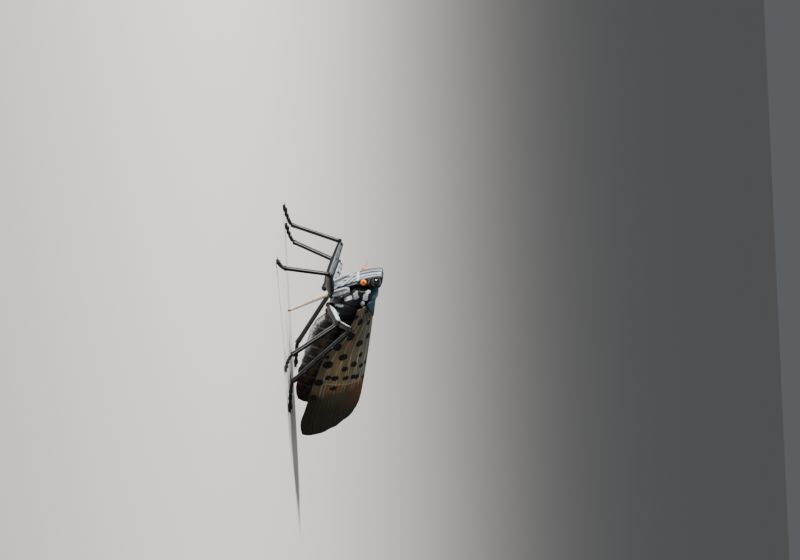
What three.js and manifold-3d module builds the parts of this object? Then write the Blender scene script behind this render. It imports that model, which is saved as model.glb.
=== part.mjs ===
// An adult spotted lanternfly standing with folded wings, as a still, life-size model.
// Millimetres. +Z is up, +Y runs from the head to the wing tips, +X is the insect's left.
import * as THREE from 'three';
import { mergeVertices } from 'three/addons/utils/BufferGeometryUtils.js';
import Module from 'manifold-3d';

const wasm = await Module();
wasm.setup();

// Driving dimensions
const GAP = 0.3; // space between neighbouring pieces
const PITCH = THREE.MathUtils.degToRad(13); // the head end of the body is raised
const BODY_HEIGHT = 8; // body axis above the floor, below the wing bases

// Roof that the folded wings form over the body. Heights are in the body's frame.
const ROOF = {
  ridge: [[-2.4, 3.02], [-0.5, 3.12], [3, 3.28], [9, 3.42], [14, 3.38], [17, 3.3]],
  baseSlopes: [18, 60], // degrees at the ridge and at the outer edge, over the thorax
  rearSlopes: [28, 68], // the same behind the thorax
  settles: [-2, 5], // the slopes change between these two stations
  width: 9.2, // arc from the ridge to the outer edge
  droop: { left: 0, right: 11 }, // degrees that the wing hangs steeper
};

// Forewing outline. Along the body, then across the roof from the ridge.
const TEGMEN = {
  thickness: 0.5,
  innerEdge: [[-1.9, 3.1], [-1.2, 2.2], [-0.5, 1.15], [0.1, 0.52], [0.7, 0.35], [1.6, 0.33], [17, 0.33]],
  outerEdge: [[-1.9, 4.5], [-1, 4.7], [0.4, 5.1], [1.5, 5.95], [3, 6.95], [5, 7.85], [7, 8.45],
    [10, 9.05], [12.5, 9.4], [13.8, 9.6], [14.8, 9.42], [15.8, 8.95], [17, 8.4]],
  root: [[0, -1.85], [1, -1.65]],
  hindEdge: [[0, 11.4], [0.05, 12.3], [0.19, 13.75], [0.33, 14.25], [0.44, 14.8], [0.55, 15.05],
    [0.67, 15.45], [0.81, 15.65], [0.92, 15.75], [1, 15.6]],
  veins: [0.13, 0.3, 0.48, 0.66, 0.84], // fractions of the way across
  veinHeight: 0.17,
  nodalLine: 0.66, // cross vein, as a fraction of the length
  nodalHeight: 0.1,
  veinSpread: 0.018,
  stations: 17,
};

const HINDWING = {
  thickness: 0.5,
  innerEdge: 1.9,
  inset: 1.0, // from the forewing's outer edge
  start: 1.9,
  end: 12.4,
  hindRounding: 1.6, // how much shorter the wing is at its two edges
  veins: 4,
  veinHeight: 0.14,
  stations: 12,
};

// Head, in the body's frame. Rows: height, front, half width of the face, back, half width
// of the back.
const HEAD = {
  rows: [
    [3.54, -5.42, 0.8, -4.45, 0.8],
    [3.4, -5.62, 1.12, -4.05, 1.35],
    [3.05, -5.64, 1.3, -4.0, 1.6],
    [2.4, -5.42, 1.38, -4.0, 1.75],
    [1.8, -5.22, 1.42, -4.0, 1.85],
    [1.2, -4.95, 1.45, -4.0, 1.85],
    [0.72, -4.72, 1.45, -4.0, 1.75],
    [0.53, -4.56, 1.4, -3.95, 1.65],
    [0.34, -4.55, 1.36, -3.9, 1.6],
    [-0.3, -4.12, 1.22, -3.5, 1.4],
    [-1.2, -3.45, 0.95, -2.75, 1.02],
    [-1.9, -2.9, 0.68, -2.25, 0.75],
    [-2.55, -2.16, 0.46, -1.6, 0.5],
    [-2.95, -1.68, 0.32, -1.3, 0.34],
  ],
  keel: 0.1, // height of the face's lengthwise ridges
};
const EYE = { at: [1.52, -4.7, 2.57], radius: 0.62, stretch: [0.95, 1, 1.08] };
const ANTENNA = { at: [2.05, -4.72, 1.16], bulb: 0.4, stalk: 0.2, bristle: 1.5 };
const ROSTRUM = { root: [0, -1.25, -3.28], tip: [0, 0, 0.25], radius: 0.25 };

// Thorax. Rows: along the body, height of the axis, half width, height above and depth below.
const THORAX = [
  [-3.55, 1.15, 1.5, 0.75, 0.7],
  [-3.1, 1.0, 1.95, 1.05, 1.1],
  [-2.5, 0.7, 2.15, 1.4, 1.55],
  [-1.95, 0.35, 2.6, 1.75, 1.95],
  [-1.2, 0.1, 2.9, 1.95, 2.25],
  [-0.3, 0, 3.0, 1.9, 2.4],
  [0.6, -0.15, 2.65, 1.65, 2.35],
  [1.3, -0.35, 2.15, 1.4, 2.2],
];

const ABDOMEN = {
  // Rows: along the body, height of the axis, half width, height above and depth below
  rows: [
    [1.65, -0.95, 2.0, 1.35, 2.2],
    [2.7, -1.25, 2.08, 1.3, 2.65],
    [4, -1.5, 2.0, 1.2, 2.8],
    [5.4, -1.75, 1.94, 1.2, 2.65],
    [6.9, -2.1, 1.86, 1.15, 2.4],
    [8.3, -2.5, 1.74, 1.1, 2.15],
    [9.6, -2.95, 1.55, 1.05, 1.95],
    [10.8, -3.45, 1.25, 0.85, 1.45],
    [11.8, -3.85, 0.8, 0.6, 0.85],
    [12.5, -4.0, 0.4, 0.3, 0.4],
  ],
  segments: 8,
  lap: 0.13, // how far each segment's hind rim stands out
};

// Scale over each forewing's root, placed along and across the roof
const TEGULA = { at: [-2.28, 3.5], radius: 0.38, stretch: [1, 0.6, 0.6] };

const PRONOTUM = {
  axisHeight: 0.5,
  halfWidth: 3.05,
  rise: 2.55,
  waist: 0.09, // the front rim is narrower by this fraction
  thickness: 0.55,
  reach: 96, // degrees from the top to the lower corner of each side lobe
  front: -3.66,
  frontArch: 0.12,
  back: -2.3,
  backCurve: 0.5,
};

// Legs. Joints are points above the floor, in the frame of the whole insect, and feet rest at 0.
const LEGS = {
  front_left: {
    coxa: [2.2, -3.4, -0.5], hip: [1.7, -2.65, 5.95],
    knee: [5.93, -7.31, 6.24], heel: [9, -9.7, 0.75], toe: [10.4, -11.2],
  },
  front_right: {
    coxa: [-2.2, -3.4, -0.5], hip: [-1.7, -2.21, 4.99],
    knee: [-5.73, -6.78, 7.24], heel: [-8, -8.46, 0.89], toe: [-8, -10.9],
  },
  mid_left: {
    coxa: [1.5, -0.4, -1.3], hip: [2, -1.41, 5.63],
    knee: [7.72, -1.24, 7.07], heel: [9, 2.2, 0.95], toe: [9.9, 3.6],
  },
  mid_right: {
    coxa: [-1.5, -0.4, -1.3], hip: [-2, -1.22, 5.62],
    knee: [-7.43, -3.18, 6.84], heel: [-9, -5.73, 0.89], toe: [-9.1, -7.9],
  },
  hind_left: {
    coxa: [0.8, 1.25, -2.45], hip: [2.1, 0.7, 5.95],
    knee: [6.8, 0.06, 8.54], heel: [8, 6.33, 0.72], toe: [8, 10.1],
  },
  hind_right: {
    coxa: [-0.8, 1.25, -2.45], hip: [-2.1, 0.7, 5.85],
    knee: [-7.2, -0.4, 6.1], heel: [-8, 7.9, 0.6], toe: [-8, 10.9],
  },
};
const LEG = { coxa: 0.5, hip: 0.5, femur: 0.5, tibia: 0.32, tarsus: 0.27, sole: 0.26 };

const COLOURS = {
  head: ['#8d9aa6', 0.5],
  eye: ['#0b0b0d', 0.12],
  antenna: ['#e8772a', 0.45],
  rostrum: ['#b49a7c', 0.5],
  pronotum: ['#5f7480', 0.5],
  mesonotum: ['#4d6270', 0.5],
  thorax: ['#1d1a1a', 0.5],
  abdomen: ['#3a3432', 0.6],
  tegula: ['#8b8a86', 0.5],
  tegmen: ['#9c8f7c', 0.55],
  hindwing: ['#a5382c', 0.55],
  coxa: ['#aeb2b3', 0.55],
  femur: ['#33302f', 0.4],
  tibia: ['#2a2726', 0.4],
  tarsus: ['#191615', 0.4],
};

const { clamp, lerp, degToRad, smoothstep } = THREE.MathUtils;
const vector = (x, y, z) => new THREE.Vector3(x, y, z);

// A smooth function through a few named points
function through(points) {
  const slope = points.map((point, i) => {
    const [before, after] = [points[Math.max(i - 1, 0)], points[Math.min(i + 1, points.length - 1)]];
    return (after[1] - before[1]) / (after[0] - before[0]);
  });
  return (x) => {
    let i = 0;
    while (i < points.length - 2 && x > points[i + 1][0]) i += 1;
    const [[x0, y0], [x1, y1]] = [points[i], points[i + 1]];
    const span = x1 - x0;
    const f = clamp((x - x0) / span, 0, 1);
    const [f2, f3] = [f * f, f * f * f];
    return (2 * f3 - 3 * f2 + 1) * y0 + (f3 - 2 * f2 + f) * span * slope[i]
      + (3 * f2 - 2 * f3) * y1 + (f3 - f2) * span * slope[i + 1];
  };
}

// A closed body from shared points and triangles, turned so that its faces point out
function body(points, faces) {
  let volume = 0;
  for (const [a, b, c] of faces) {
    volume += points[a].dot(vector().crossVectors(points[b], points[c]));
  }
  const geometry = new THREE.BufferGeometry();
  const places = points.flatMap((p) => [p.x, p.y, p.z]);
  geometry.setAttribute('position', new THREE.Float32BufferAttribute(places, 3));
  geometry.setIndex(faces.flatMap(([a, b, c]) => (volume < 0 ? [a, c, b] : [a, b, c])));
  return geometry;
}

// A closed skin over rings of points, with a cap of triangles round the middle of each end
function loft(rings) {
  const points = rings.flat();
  const sides = rings[0].length;
  const faces = [];
  for (let r = 0; r < rings.length - 1; r += 1) {
    for (let i = 0; i < sides; i += 1) {
      const [a, b] = [r * sides + i, r * sides + (i + 1) % sides];
      faces.push([a, b, b + sides], [a, b + sides, a + sides]);
    }
  }
  const last = (rings.length - 1) * sides;
  for (const [ring, first, reverse] of [[rings[0], 0, true], [rings.at(-1), last, false]]) {
    const middle = ring.reduce((sum, p) => sum.add(p), vector(0, 0, 0)).divideScalar(sides);
    points.push(middle);
    for (let i = 0; i < sides; i += 1) {
      const [a, b] = [first + i, first + (i + 1) % sides];
      faces.push(reverse ? [b, a, points.length - 1] : [a, b, points.length - 1]);
    }
  }
  return body(points, faces);
}

// A thin curved sheet. at(row, column) gives the middle surface, over and under its two faces'
// distances from it. Both faces are split along the same diagonals.
function sheet(rows, columns, at, over, under) {
  const middle = rows.map((r) => columns.map((c) => at(r, c)));
  const [nr, nc] = [rows.length, columns.length];
  const normal = (i, j) => {
    const along = middle[Math.min(i + 1, nr - 1)][j].clone().sub(middle[Math.max(i - 1, 0)][j]);
    const across = middle[i][Math.min(j + 1, nc - 1)].clone().sub(middle[i][Math.max(j - 1, 0)]);
    return along.cross(across).normalize();
  };
  const [top, bottom] = [[], []];
  rows.forEach((r, i) => columns.forEach((c, j) => {
    const n = normal(i, j);
    const sign = n.z < 0 ? -1 : 1;
    top.push(middle[i][j].clone().addScaledVector(n, sign * over(r, c)));
    bottom.push(middle[i][j].clone().addScaledVector(n, -sign * under(r, c)));
  }));
  const points = [...top, ...bottom];
  const low = top.length;
  const id = (i, j) => i * nc + j;
  const faces = [];
  for (let i = 0; i < nr - 1; i += 1) {
    for (let j = 0; j < nc - 1; j += 1) {
      const [a, b, c, d] = [id(i, j), id(i, j + 1), id(i + 1, j + 1), id(i + 1, j)];
      faces.push([a, b, c], [a, c, d], [low + a, low + c, low + b], [low + a, low + d, low + c]);
    }
  }
  const rim = [];
  for (let j = 0; j < nc - 1; j += 1) rim.push(id(0, j));
  for (let i = 0; i < nr - 1; i += 1) rim.push(id(i, nc - 1));
  for (let j = nc - 1; j > 0; j -= 1) rim.push(id(nr - 1, j));
  for (let i = nr - 1; i > 0; i -= 1) rim.push(id(i, 0));
  rim.forEach((a, k) => {
    const b = rim[(k + 1) % rim.length];
    faces.push([b, a, low + a], [b, low + a, low + b]);
  });
  return body(points, faces);
}

// Joins and cuts. What is left is one closed body, the largest.
function toManifold(geometry) {
  const plain = geometry.clone();
  plain.deleteAttribute('normal');
  plain.deleteAttribute('uv');
  const merged = mergeVertices(plain, 1e-5);
  return new wasm.Manifold(new wasm.Mesh({
    numProp: 3,
    vertProperties: new Float32Array(merged.attributes.position.array),
    triVerts: new Uint32Array(merged.index.array),
  }));
}

function fromManifold(manifold) {
  const largest = manifold.decompose().sort((a, b) => b.volume() - a.volume())[0];
  const mesh = largest.getMesh();
  const geometry = new THREE.BufferGeometry();
  geometry.setAttribute('position', new THREE.Float32BufferAttribute(mesh.vertProperties, 3));
  geometry.setIndex(Array.from(mesh.triVerts));
  return geometry;
}

const fuse = (pieces) => fromManifold(pieces.map(toManifold).reduce((sum, piece) => sum.add(piece)));
const carve = (solid, tools) => fromManifold(
  tools.map(toManifold).reduce((rest, tool) => rest.subtract(tool), toManifold(solid)),
);

// A ring round the body's axis: a rounded oval with its own height above and below the axis
function oval(y, z, width, up, down, sides, power = 2.3) {
  return Array.from({ length: sides }, (_, i) => {
    const angle = (2 * Math.PI * (i + 0.5)) / sides;
    const round = (value) => Math.sign(value) * Math.abs(value) ** (2 / power);
    const rise = round(Math.sin(angle));
    return vector(width * round(Math.cos(angle)), y, z + rise * (rise > 0 ? up : down));
  });
}

// A limb from one point towards another. Rows: millimetres from the start, half width, half
// height. Alternate corners stand out as lengthwise ridges.
function limb(from, to, rows, { sides = 8, ridge = 0.14, up = vector(0, 0, 1) } = {}) {
  const along = to.clone().sub(from).normalize();
  const wide = vector().crossVectors(along, up).normalize();
  const high = vector().crossVectors(wide, along);
  return loft(rows.map(([place, width, height]) => {
    const middle = from.clone().addScaledVector(along, place);
    return Array.from({ length: sides }, (_, i) => {
      const angle = (2 * Math.PI * i) / sides;
      const reach = 1 - ridge * (i % 2);
      return middle.clone().addScaledVector(wide, Math.cos(angle) * width * reach)
        .addScaledVector(high, Math.sin(angle) * height * reach);
    });
  }));
}

// A spine of four sides from a sunk root to its point
function spine(root, tip, radius) {
  const along = tip.clone().sub(root);
  return limb(root, tip, [[0, radius, radius], [along.length() - 0.02, 0.05, 0.05]], {
    sides: 4,
    ridge: 0,
    up: Math.abs(along.z) > Math.abs(along.y) ? vector(0, 1, 0) : vector(0, 0, 1),
  });
}

// A bead whose poles point up and down, so that its flattened side has corners all round
function ball(at, radius, stretch = [1, 1, 1], detail = [14, 10]) {
  const bead = new THREE.SphereGeometry(radius, ...detail);
  return bead.rotateX(Math.PI / 2).scale(...stretch).translate(...at);
}

// The roof surface. Its slope grows evenly from the ridge outwards, so each section is an arc.
const ridgeHeight = through(ROOF.ridge);
function roofPoint(side, along, across) {
  const settled = smoothstep(along, ...ROOF.settles);
  const droop = ROOF.droop[side] * settled;
  const inner = degToRad(lerp(ROOF.baseSlopes[0], ROOF.rearSlopes[0], settled) + droop);
  const outer = degToRad(lerp(ROOF.baseSlopes[1], ROOF.rearSlopes[1], settled) + droop);
  const rate = (outer - inner) / ROOF.width;
  const x = (Math.sin(inner + rate * across) - Math.sin(inner)) / rate;
  const drop = (Math.cos(inner) - Math.cos(inner + rate * across)) / rate;
  return vector(side === 'left' ? x : -x, along, ridgeHeight(along) - drop);
}

const wingInner = through(TEGMEN.innerEdge);
const wingOuter = through(TEGMEN.outerEdge);
const wingRoot = through(TEGMEN.root);
const wingHind = through(TEGMEN.hindEdge);

function tegmenPoint(side, s, q) {
  const along = lerp(wingRoot(q), wingHind(q), s);
  return roofPoint(side, along, lerp(wingInner(along), wingOuter(along), q));
}

// Grid lines with one line on each side of every vein, close to it
function linesWithVeins(veins, spread, fill) {
  const lines = [...veins.flatMap((v) => [v - spread, v, v + spread])];
  for (const f of fill) {
    if (lines.every((line) => Math.abs(line - f) > 2 * spread)) lines.push(f);
  }
  return lines.sort((a, b) => a - b);
}

function tegmen(side) {
  const even = Array.from({ length: TEGMEN.stations + 1 }, (_, i) => i / TEGMEN.stations);
  const rows = linesWithVeins([TEGMEN.nodalLine], TEGMEN.veinSpread / 2, even);
  const between = [0, ...TEGMEN.veins.slice(1).map((v, i) => (v + TEGMEN.veins[i]) / 2), 1];
  const columns = linesWithVeins(TEGMEN.veins, TEGMEN.veinSpread, between);
  const half = TEGMEN.thickness / 2;
  // The veins rise from nothing at the root and sink again before the hind edge
  const vein = (s, q) => {
    const across = s === TEGMEN.nodalLine ? TEGMEN.nodalHeight : 0;
    const along = TEGMEN.veins.includes(q) ? TEGMEN.veinHeight : across;
    return along * smoothstep(s, 0, 0.2) * smoothstep(1 - s, 0, 0.1);
  };
  const at = (s, q) => tegmenPoint(side, s, q);
  return sheet(rows, columns, at, (s, q) => half + vein(s, q), () => half);
}

function hindwing(side) {
  const depth = TEGMEN.thickness / 2 + GAP + HINDWING.thickness / 2 + HINDWING.veinHeight;
  const rows = Array.from({ length: HINDWING.stations + 1 }, (_, i) => i / HINDWING.stations);
  const columns = Array.from({ length: 2 * HINDWING.veins + 1 }, (_, i) => i / (2 * HINDWING.veins));
  const half = HINDWING.thickness / 2;
  const place = (s, q) => {
    const end = HINDWING.end - HINDWING.hindRounding * (2 * q - 1) ** 2;
    const along = lerp(HINDWING.start, end, s);
    const across = lerp(HINDWING.innerEdge, wingOuter(along) - HINDWING.inset, q);
    return [along, across];
  };
  const at = (s, q) => {
    const [along, across] = place(s, q);
    const step = 0.05;
    const here = roofPoint(side, along, across);
    const ahead = roofPoint(side, along + step, across).sub(here);
    const out = roofPoint(side, along, across + step).sub(here);
    const normal = ahead.cross(out).normalize();
    return here.addScaledVector(normal, normal.z > 0 ? -depth : depth);
  };
  const onVein = (s, q) => Math.round(q * 2 * HINDWING.veins) % 2 === 1 && s > 0 && s < 1;
  const over = (s, q) => half + (onVein(s, q) ? HINDWING.veinHeight : 0);
  return sheet(rows, columns, at, over, () => half);
}

// Head capsule: face plate with lengthwise ridges, cheeks, and the clypeus tapering to the beak
function head() {
  const rings = HEAD.rows.map(([z, front, face, back, cheek]) => {
    const half = [
      [0, front - HEAD.keel], [0.2 * face, front], [0.42 * face, front],
      [0.5 * face, front - HEAD.keel], [0.58 * face, front], [0.9 * face, front + 0.06],
      [face, front - 0.04], [1.02 * face, front + 0.14], [0.98 * face, front + 0.3],
      [lerp(face, cheek, 0.75), lerp(front, back, 0.5)], [cheek, lerp(front, back, 0.8)],
      [0.9 * cheek, back], [0.45 * cheek, back], [0, back],
    ];
    const right = half.slice(1, -1).reverse().map(([x, y]) => vector(-x, y, z));
    return [...half.map(([x, y]) => vector(x, y, z)), ...right];
  });
  const sockets = [-1, 1].flatMap((side) => [
    ball([side * EYE.at[0], EYE.at[1], EYE.at[2]], EYE.radius + GAP, EYE.stretch, [12, 8]),
    ball([side * ANTENNA.at[0], ANTENNA.at[1], ANTENNA.at[2]], ANTENNA.bulb + GAP, [1, 1, 1], [8, 6]),
  ]);
  return carve(loft(rings), sockets);
}

function antenna(side) {
  const at = vector(side * ANTENNA.at[0], ANTENNA.at[1], ANTENNA.at[2]);
  const out = vector(side * 0.72, -0.42, 0.1).normalize();
  const root = at.clone().addScaledVector(out, ANTENNA.bulb * 0.8);
  return fuse([
    ball(at.toArray(), ANTENNA.bulb, [1, 1, 1.05], [10, 7]),
    spine(root, at.clone().addScaledVector(out, ANTENNA.bulb + ANTENNA.bristle), ANTENNA.stalk * 0.6),
  ]);
}

function rostrum() {
  const [root, end] = [vector(...ROSTRUM.root), toBody(vector(...ROSTRUM.tip))];
  const length = end.distanceTo(root);
  const r = ROSTRUM.radius;
  return limb(root, end, [
    [0, 0.8 * r, 0.8 * r], [0.25, 1.15 * r, r], [1.6, 1.1 * r, r], [1.8, 0.9 * r, 0.85 * r],
    [3.2, r, 0.95 * r], [length - 0.5, 0.9 * r, 0.85 * r], [length, 0.45 * r, 0.42 * r],
  ], { up: vector(0, -1, 0) });
}

function pronotum() {
  const rows = [0, 0.25, 0.5, 0.75, 1];
  const columns = Array.from({ length: 21 }, (_, i) => (i / 20) * 2 - 1);
  const half = PRONOTUM.thickness / 2;
  const at = (w, c) => {
    const angle = degToRad(PRONOTUM.reach * c);
    const front = PRONOTUM.front - PRONOTUM.frontArch * Math.cos(angle) ** 4;
    const back = PRONOTUM.back - PRONOTUM.backCurve * Math.sin(angle) ** 2;
    const swell = 1 + 0.03 * Math.sin(Math.PI * w) - PRONOTUM.waist * (1 - w);
    return vector(
      PRONOTUM.halfWidth * swell * Math.sin(angle),
      lerp(front, back, w),
      PRONOTUM.axisHeight + PRONOTUM.rise * swell * Math.cos(angle),
    );
  };
  return sheetOutwards(rows, columns, at, half, vector(0, -3, PRONOTUM.axisHeight));
}

// As sheet, for a surface that wraps round a centre line parallel to the body's axis
function sheetOutwards(rows, columns, at, half, centre) {
  const points = [[], []];
  rows.forEach((r) => columns.forEach((c) => {
    const p = at(r, c);
    const out = p.clone().sub(centre).setY(0).normalize();
    points[0].push(p.clone().addScaledVector(out, half));
    points[1].push(p.clone().addScaledVector(out, -half));
  }));
  const inner = points[0].length;
  const nc = columns.length;
  const id = (i, j) => i * nc + j;
  const faces = [];
  const quad = (a, b, c, d) => faces.push([a, b, c], [a, c, d]);
  for (let i = 0; i < rows.length - 1; i += 1) {
    for (let j = 0; j < nc - 1; j += 1) {
      quad(id(i, j), id(i, j + 1), id(i + 1, j + 1), id(i + 1, j));
      const under = [id(i, j), id(i + 1, j), id(i + 1, j + 1), id(i, j + 1)];
      quad(...under.map((k) => k + inner));
    }
    const [p, q] = [id(i, 0), id(i + 1, 0)];
    quad(p, q, q + inner, p + inner);
    const [r, s] = [id(i, nc - 1), id(i + 1, nc - 1)];
    quad(s, r, r + inner, s + inner);
  }
  for (let j = 0; j < nc - 1; j += 1) {
    const [p, q] = [id(0, j), id(0, j + 1)];
    quad(q, p, p + inner, q + inner);
    const [r, s] = [id(rows.length - 1, j), id(rows.length - 1, j + 1)];
    quad(r, s, s + inner, r + inner);
  }
  return body(points.flat(), faces);
}

// Shield between the wing bases: its sides follow the wings' inner edges
function mesonotum() {
  const rows = Array.from({ length: 7 }, (_, i) => lerp(-1.95, -0.2, i / 6));
  const columns = [-1, -0.72, -0.5, -0.25, 0, 0.25, 0.5, 0.72, 1];
  const clear = GAP + TEGMEN.thickness / 2;
  const at = (y, c) => {
    const edge = Math.max(roofPoint('left', y, wingInner(y)).x - clear, 0.35);
    const x = edge * c;
    const keel = Math.abs(c) === 0.5 || c === 0 ? 0.08 : 0;
    return vector(x, y, ridgeHeight(y) - 0.15 - 0.34 * (x / 2) ** 2 + keel * clamp(edge - 0.35, 0, 1));
  };
  return sheet(rows, columns, at, () => 0.25, () => 0.25);
}

// The body's frame and the whole insect's
const bodyFrame = new THREE.Group();
bodyFrame.rotation.x = -PITCH;
bodyFrame.position.z = BODY_HEIGHT;
bodyFrame.updateMatrixWorld(true);
const toBody = (point) => bodyFrame.worldToLocal(point.clone());

// The coxa runs from the thorax to the hip. grow makes the space that the body leaves for it.
function coxa(leg, grow = 0) {
  const hip = toBody(vector(...leg.hip));
  const along = hip.clone().sub(vector(...leg.coxa)).normalize();
  const root = vector(...leg.coxa).addScaledVector(along, -grow);
  const r = LEG.coxa + grow;
  const thigh = toBody(vector(...leg.knee)).sub(hip).normalize();
  const fold = Math.sin(Math.min(Math.PI / 2, thigh.angleTo(along.clone().negate())));
  const stop = hip.distanceTo(root) - (LEG.hip + GAP) / fold + grow;
  return limb(root, hip, [
    [0, 0.7 * r, 0.7 * r], [0.3, r, 1.1 * r], [0.6 * stop, 0.95 * r, r], [stop, 0.72 * r, 0.72 * r],
  ], { up: vector(1, 0, 0) });
}

// What the body leaves clear for a leg
function legSpace(leg) {
  const hip = toBody(vector(...leg.hip));
  return [coxa(leg, GAP), ball(hip.toArray(), LEG.hip + GAP, [1, 1, 1], [10, 8])];
}

function thorax() {
  const rings = THORAX.map(([y, z, width, up, down]) => oval(y, z, width, up, down, 18));
  return carve(loft(rings), Object.values(LEGS).flatMap(legSpace));
}

function abdomen() {
  const [height, width, above, below] = [1, 2, 3, 4].map(
    (k) => through(ABDOMEN.rows.map((row) => [row[0], row[k]])),
  );
  const [start, end] = [ABDOMEN.rows[0][0], ABDOMEN.rows.at(-1)[0]];
  const rings = [];
  const length = (end - start) / ABDOMEN.segments;
  for (let k = 0; k < ABDOMEN.segments; k += 1) {
    const lap = ABDOMEN.lap * (k < ABDOMEN.segments - 1 ? 1 : 0);
    for (const [f, swell] of [[0.03, 0], [0.94, 1]]) {
      const y = start + (k + f) * length;
      const out = lap * swell;
      rings.push(oval(y, height(y), width(y) + out, above(y) + out, below(y) + out, 16, 2.15));
    }
  }
  return carve(loft(rings), [LEGS.hind_left, LEGS.hind_right].flatMap(legSpace));
}

// Femur with its trochanter at the hip
function femur(leg) {
  const [hip, knee] = [vector(...leg.hip), vector(...leg.knee)];
  const r = LEG.femur;
  const stop = hip.distanceTo(knee) - LEG.tibia - GAP;
  return limb(hip, knee, [
    [0, 0.8 * r, 0.8 * r], [0.35, 0.8 * r, 0.85 * r], [0.55, 0.6 * r, 0.65 * r],
    [1.3, 0.85 * r, r], [2.8, 0.9 * r, 1.1 * r], [stop - 0.6, 0.75 * r, 0.95 * r],
    [stop, 0.6 * r, 0.75 * r],
  ], { ridge: 0.18 });
}

function tibia(leg, hind) {
  const [knee, heel] = [vector(...leg.knee), vector(...leg.heel)];
  const r = LEG.tibia;
  const length = heel.distanceTo(knee);
  const along = heel.clone().sub(knee).normalize();
  const stop = GAP + 0.2;
  const shaft = limb(knee, heel, [
    [0, 0.75 * r, 0.75 * r], [0.2, 1.15 * r, 1.15 * r], [0.6, r, r], [0.5 * length, r, r],
    [length - stop - 0.5, 1.05 * r, 1.05 * r], [length - stop, 1.2 * r, 1.2 * r],
  ], { ridge: 0.2 });
  if (!hind) return shaft;
  const outward = vector(Math.sign(leg.knee[0]), 0, 0);
  const spines = [0.3, 0.45, 0.6, 0.76].map((f) => {
    const root = knee.clone().addScaledVector(along, f * length).addScaledVector(outward, 0.4 * r);
    return spine(root, root.clone().addScaledVector(outward, 0.75).addScaledVector(along, 0.35), 0.16);
  });
  const end = knee.clone().addScaledVector(along, length - stop - 0.15);
  for (let k = 0; k < 5; k += 1) {
    const angle = degToRad(-80 + 40 * k);
    const side = outward.clone().multiplyScalar(Math.sin(angle)).add(vector(0, 0, -Math.cos(angle)));
    const root = end.clone().addScaledVector(side, 0.5 * r);
    spines.push(spine(root, root.clone().addScaledVector(side, 0.34).addScaledVector(along, 0.3), 0.13));
  }
  return fuse([shaft, ...spines]);
}

// Three joints, a pad and two claws, flat where they rest
function tarsus(leg) {
  const heel = vector(...leg.heel);
  const toe = vector(leg.toe[0], leg.toe[1], LEG.sole);
  const along = toe.clone().sub(heel).setZ(0);
  const length = along.length();
  along.normalize();
  const wide = vector(along.y, -along.x, 0);
  const r = LEG.tarsus;
  const rest = (p) => p.setZ(Math.max(p.z, 0));
  const swells = [
    [0, 0.7], [0.06, 1], [0.36, 1.08], [0.42, 0.75], [0.48, 1], [0.64, 1.08], [0.69, 0.75],
    [0.75, 0.95], [0.92, 1.15], [1, 0.8],
  ];
  const rings = swells.map(([f, swell]) => {
    const z = LEG.sole + (heel.z - LEG.sole) * (1 - f) ** 1.7;
    const middle = vector(lerp(heel.x, toe.x, f), lerp(heel.y, toe.y, f), z);
    return Array.from({ length: 6 }, (_, i) => {
      const angle = (2 * Math.PI * (i + 0.5)) / 6;
      return rest(middle.clone().addScaledVector(wide, Math.cos(angle) * r * swell)
        .add(vector(0, 0, Math.sin(angle) * r * swell)));
    });
  });
  const front = heel.clone().addScaledVector(along, length).setZ(LEG.sole);
  const pad = ball([0, 0, 0], 0.36, [1, 1.15, 0.7], [8, 6]);
  pad.rotateZ(Math.atan2(along.y, along.x) - Math.PI / 2).translate(front.x, front.y, 0.12);
  const place = pad.attributes.position;
  for (let i = 0; i < place.count; i += 1) place.setZ(i, Math.max(place.getZ(i), 0));
  const claws = [-1, 1].map((side) => {
    const root = front.clone().addScaledVector(along, 0.1).addScaledVector(wide, side * 0.16);
    const tip = root.clone().addScaledVector(along, 0.5).addScaledVector(wide, side * 0.3).setZ(0.1);
    return spine(root, tip, 0.13);
  });
  return fuse([loft(rings), pad, ...claws]);
}

function mesh(name, geometry, kind) {
  const [color, roughness] = COLOURS[kind];
  const material = new THREE.MeshStandardMaterial({ color, roughness, metalness: 0 });
  const piece = new THREE.Mesh(geometry, material);
  piece.name = name;
  return piece;
}

bodyFrame.add(mesh('head', head(), 'head'));
bodyFrame.add(mesh('rostrum', rostrum(), 'rostrum'));
bodyFrame.add(mesh('pronotum', pronotum(), 'pronotum'));
bodyFrame.add(mesh('mesonotum', mesonotum(), 'mesonotum'));
bodyFrame.add(mesh('thorax', thorax(), 'thorax'));
bodyFrame.add(mesh('abdomen', abdomen(), 'abdomen'));
for (const [side, sign] of [['left', 1], ['right', -1]]) {
  const eyeAt = [sign * EYE.at[0], EYE.at[1], EYE.at[2]];
  bodyFrame.add(mesh(`eye_${side}`, ball(eyeAt, EYE.radius, EYE.stretch, [12, 9]), 'eye'));
  bodyFrame.add(mesh(`antenna_${side}`, antenna(sign), 'antenna'));
  bodyFrame.add(mesh(`tegmen_${side}`, tegmen(side), 'tegmen'));
  bodyFrame.add(mesh(`hindwing_${side}`, hindwing(side), 'hindwing'));
  const shoulder = roofPoint(side, ...TEGULA.at).toArray();
  const tegula = ball(shoulder, TEGULA.radius, TEGULA.stretch, [8, 6]);
  bodyFrame.add(mesh(`tegula_${side}`, tegula, 'tegula'));
}

const lanternfly = new THREE.Group();
lanternfly.add(bodyFrame);
for (const [place, leg] of Object.entries(LEGS)) {
  bodyFrame.add(mesh(`${place}_coxa`, coxa(leg), 'coxa'));
  lanternfly.add(mesh(`${place}_femur`, femur(leg), 'femur'));
  lanternfly.add(mesh(`${place}_tibia`, tibia(leg, place.startsWith('hind')), 'tibia'));
  lanternfly.add(mesh(`${place}_tarsus`, tarsus(leg), 'tarsus'));
}

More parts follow.
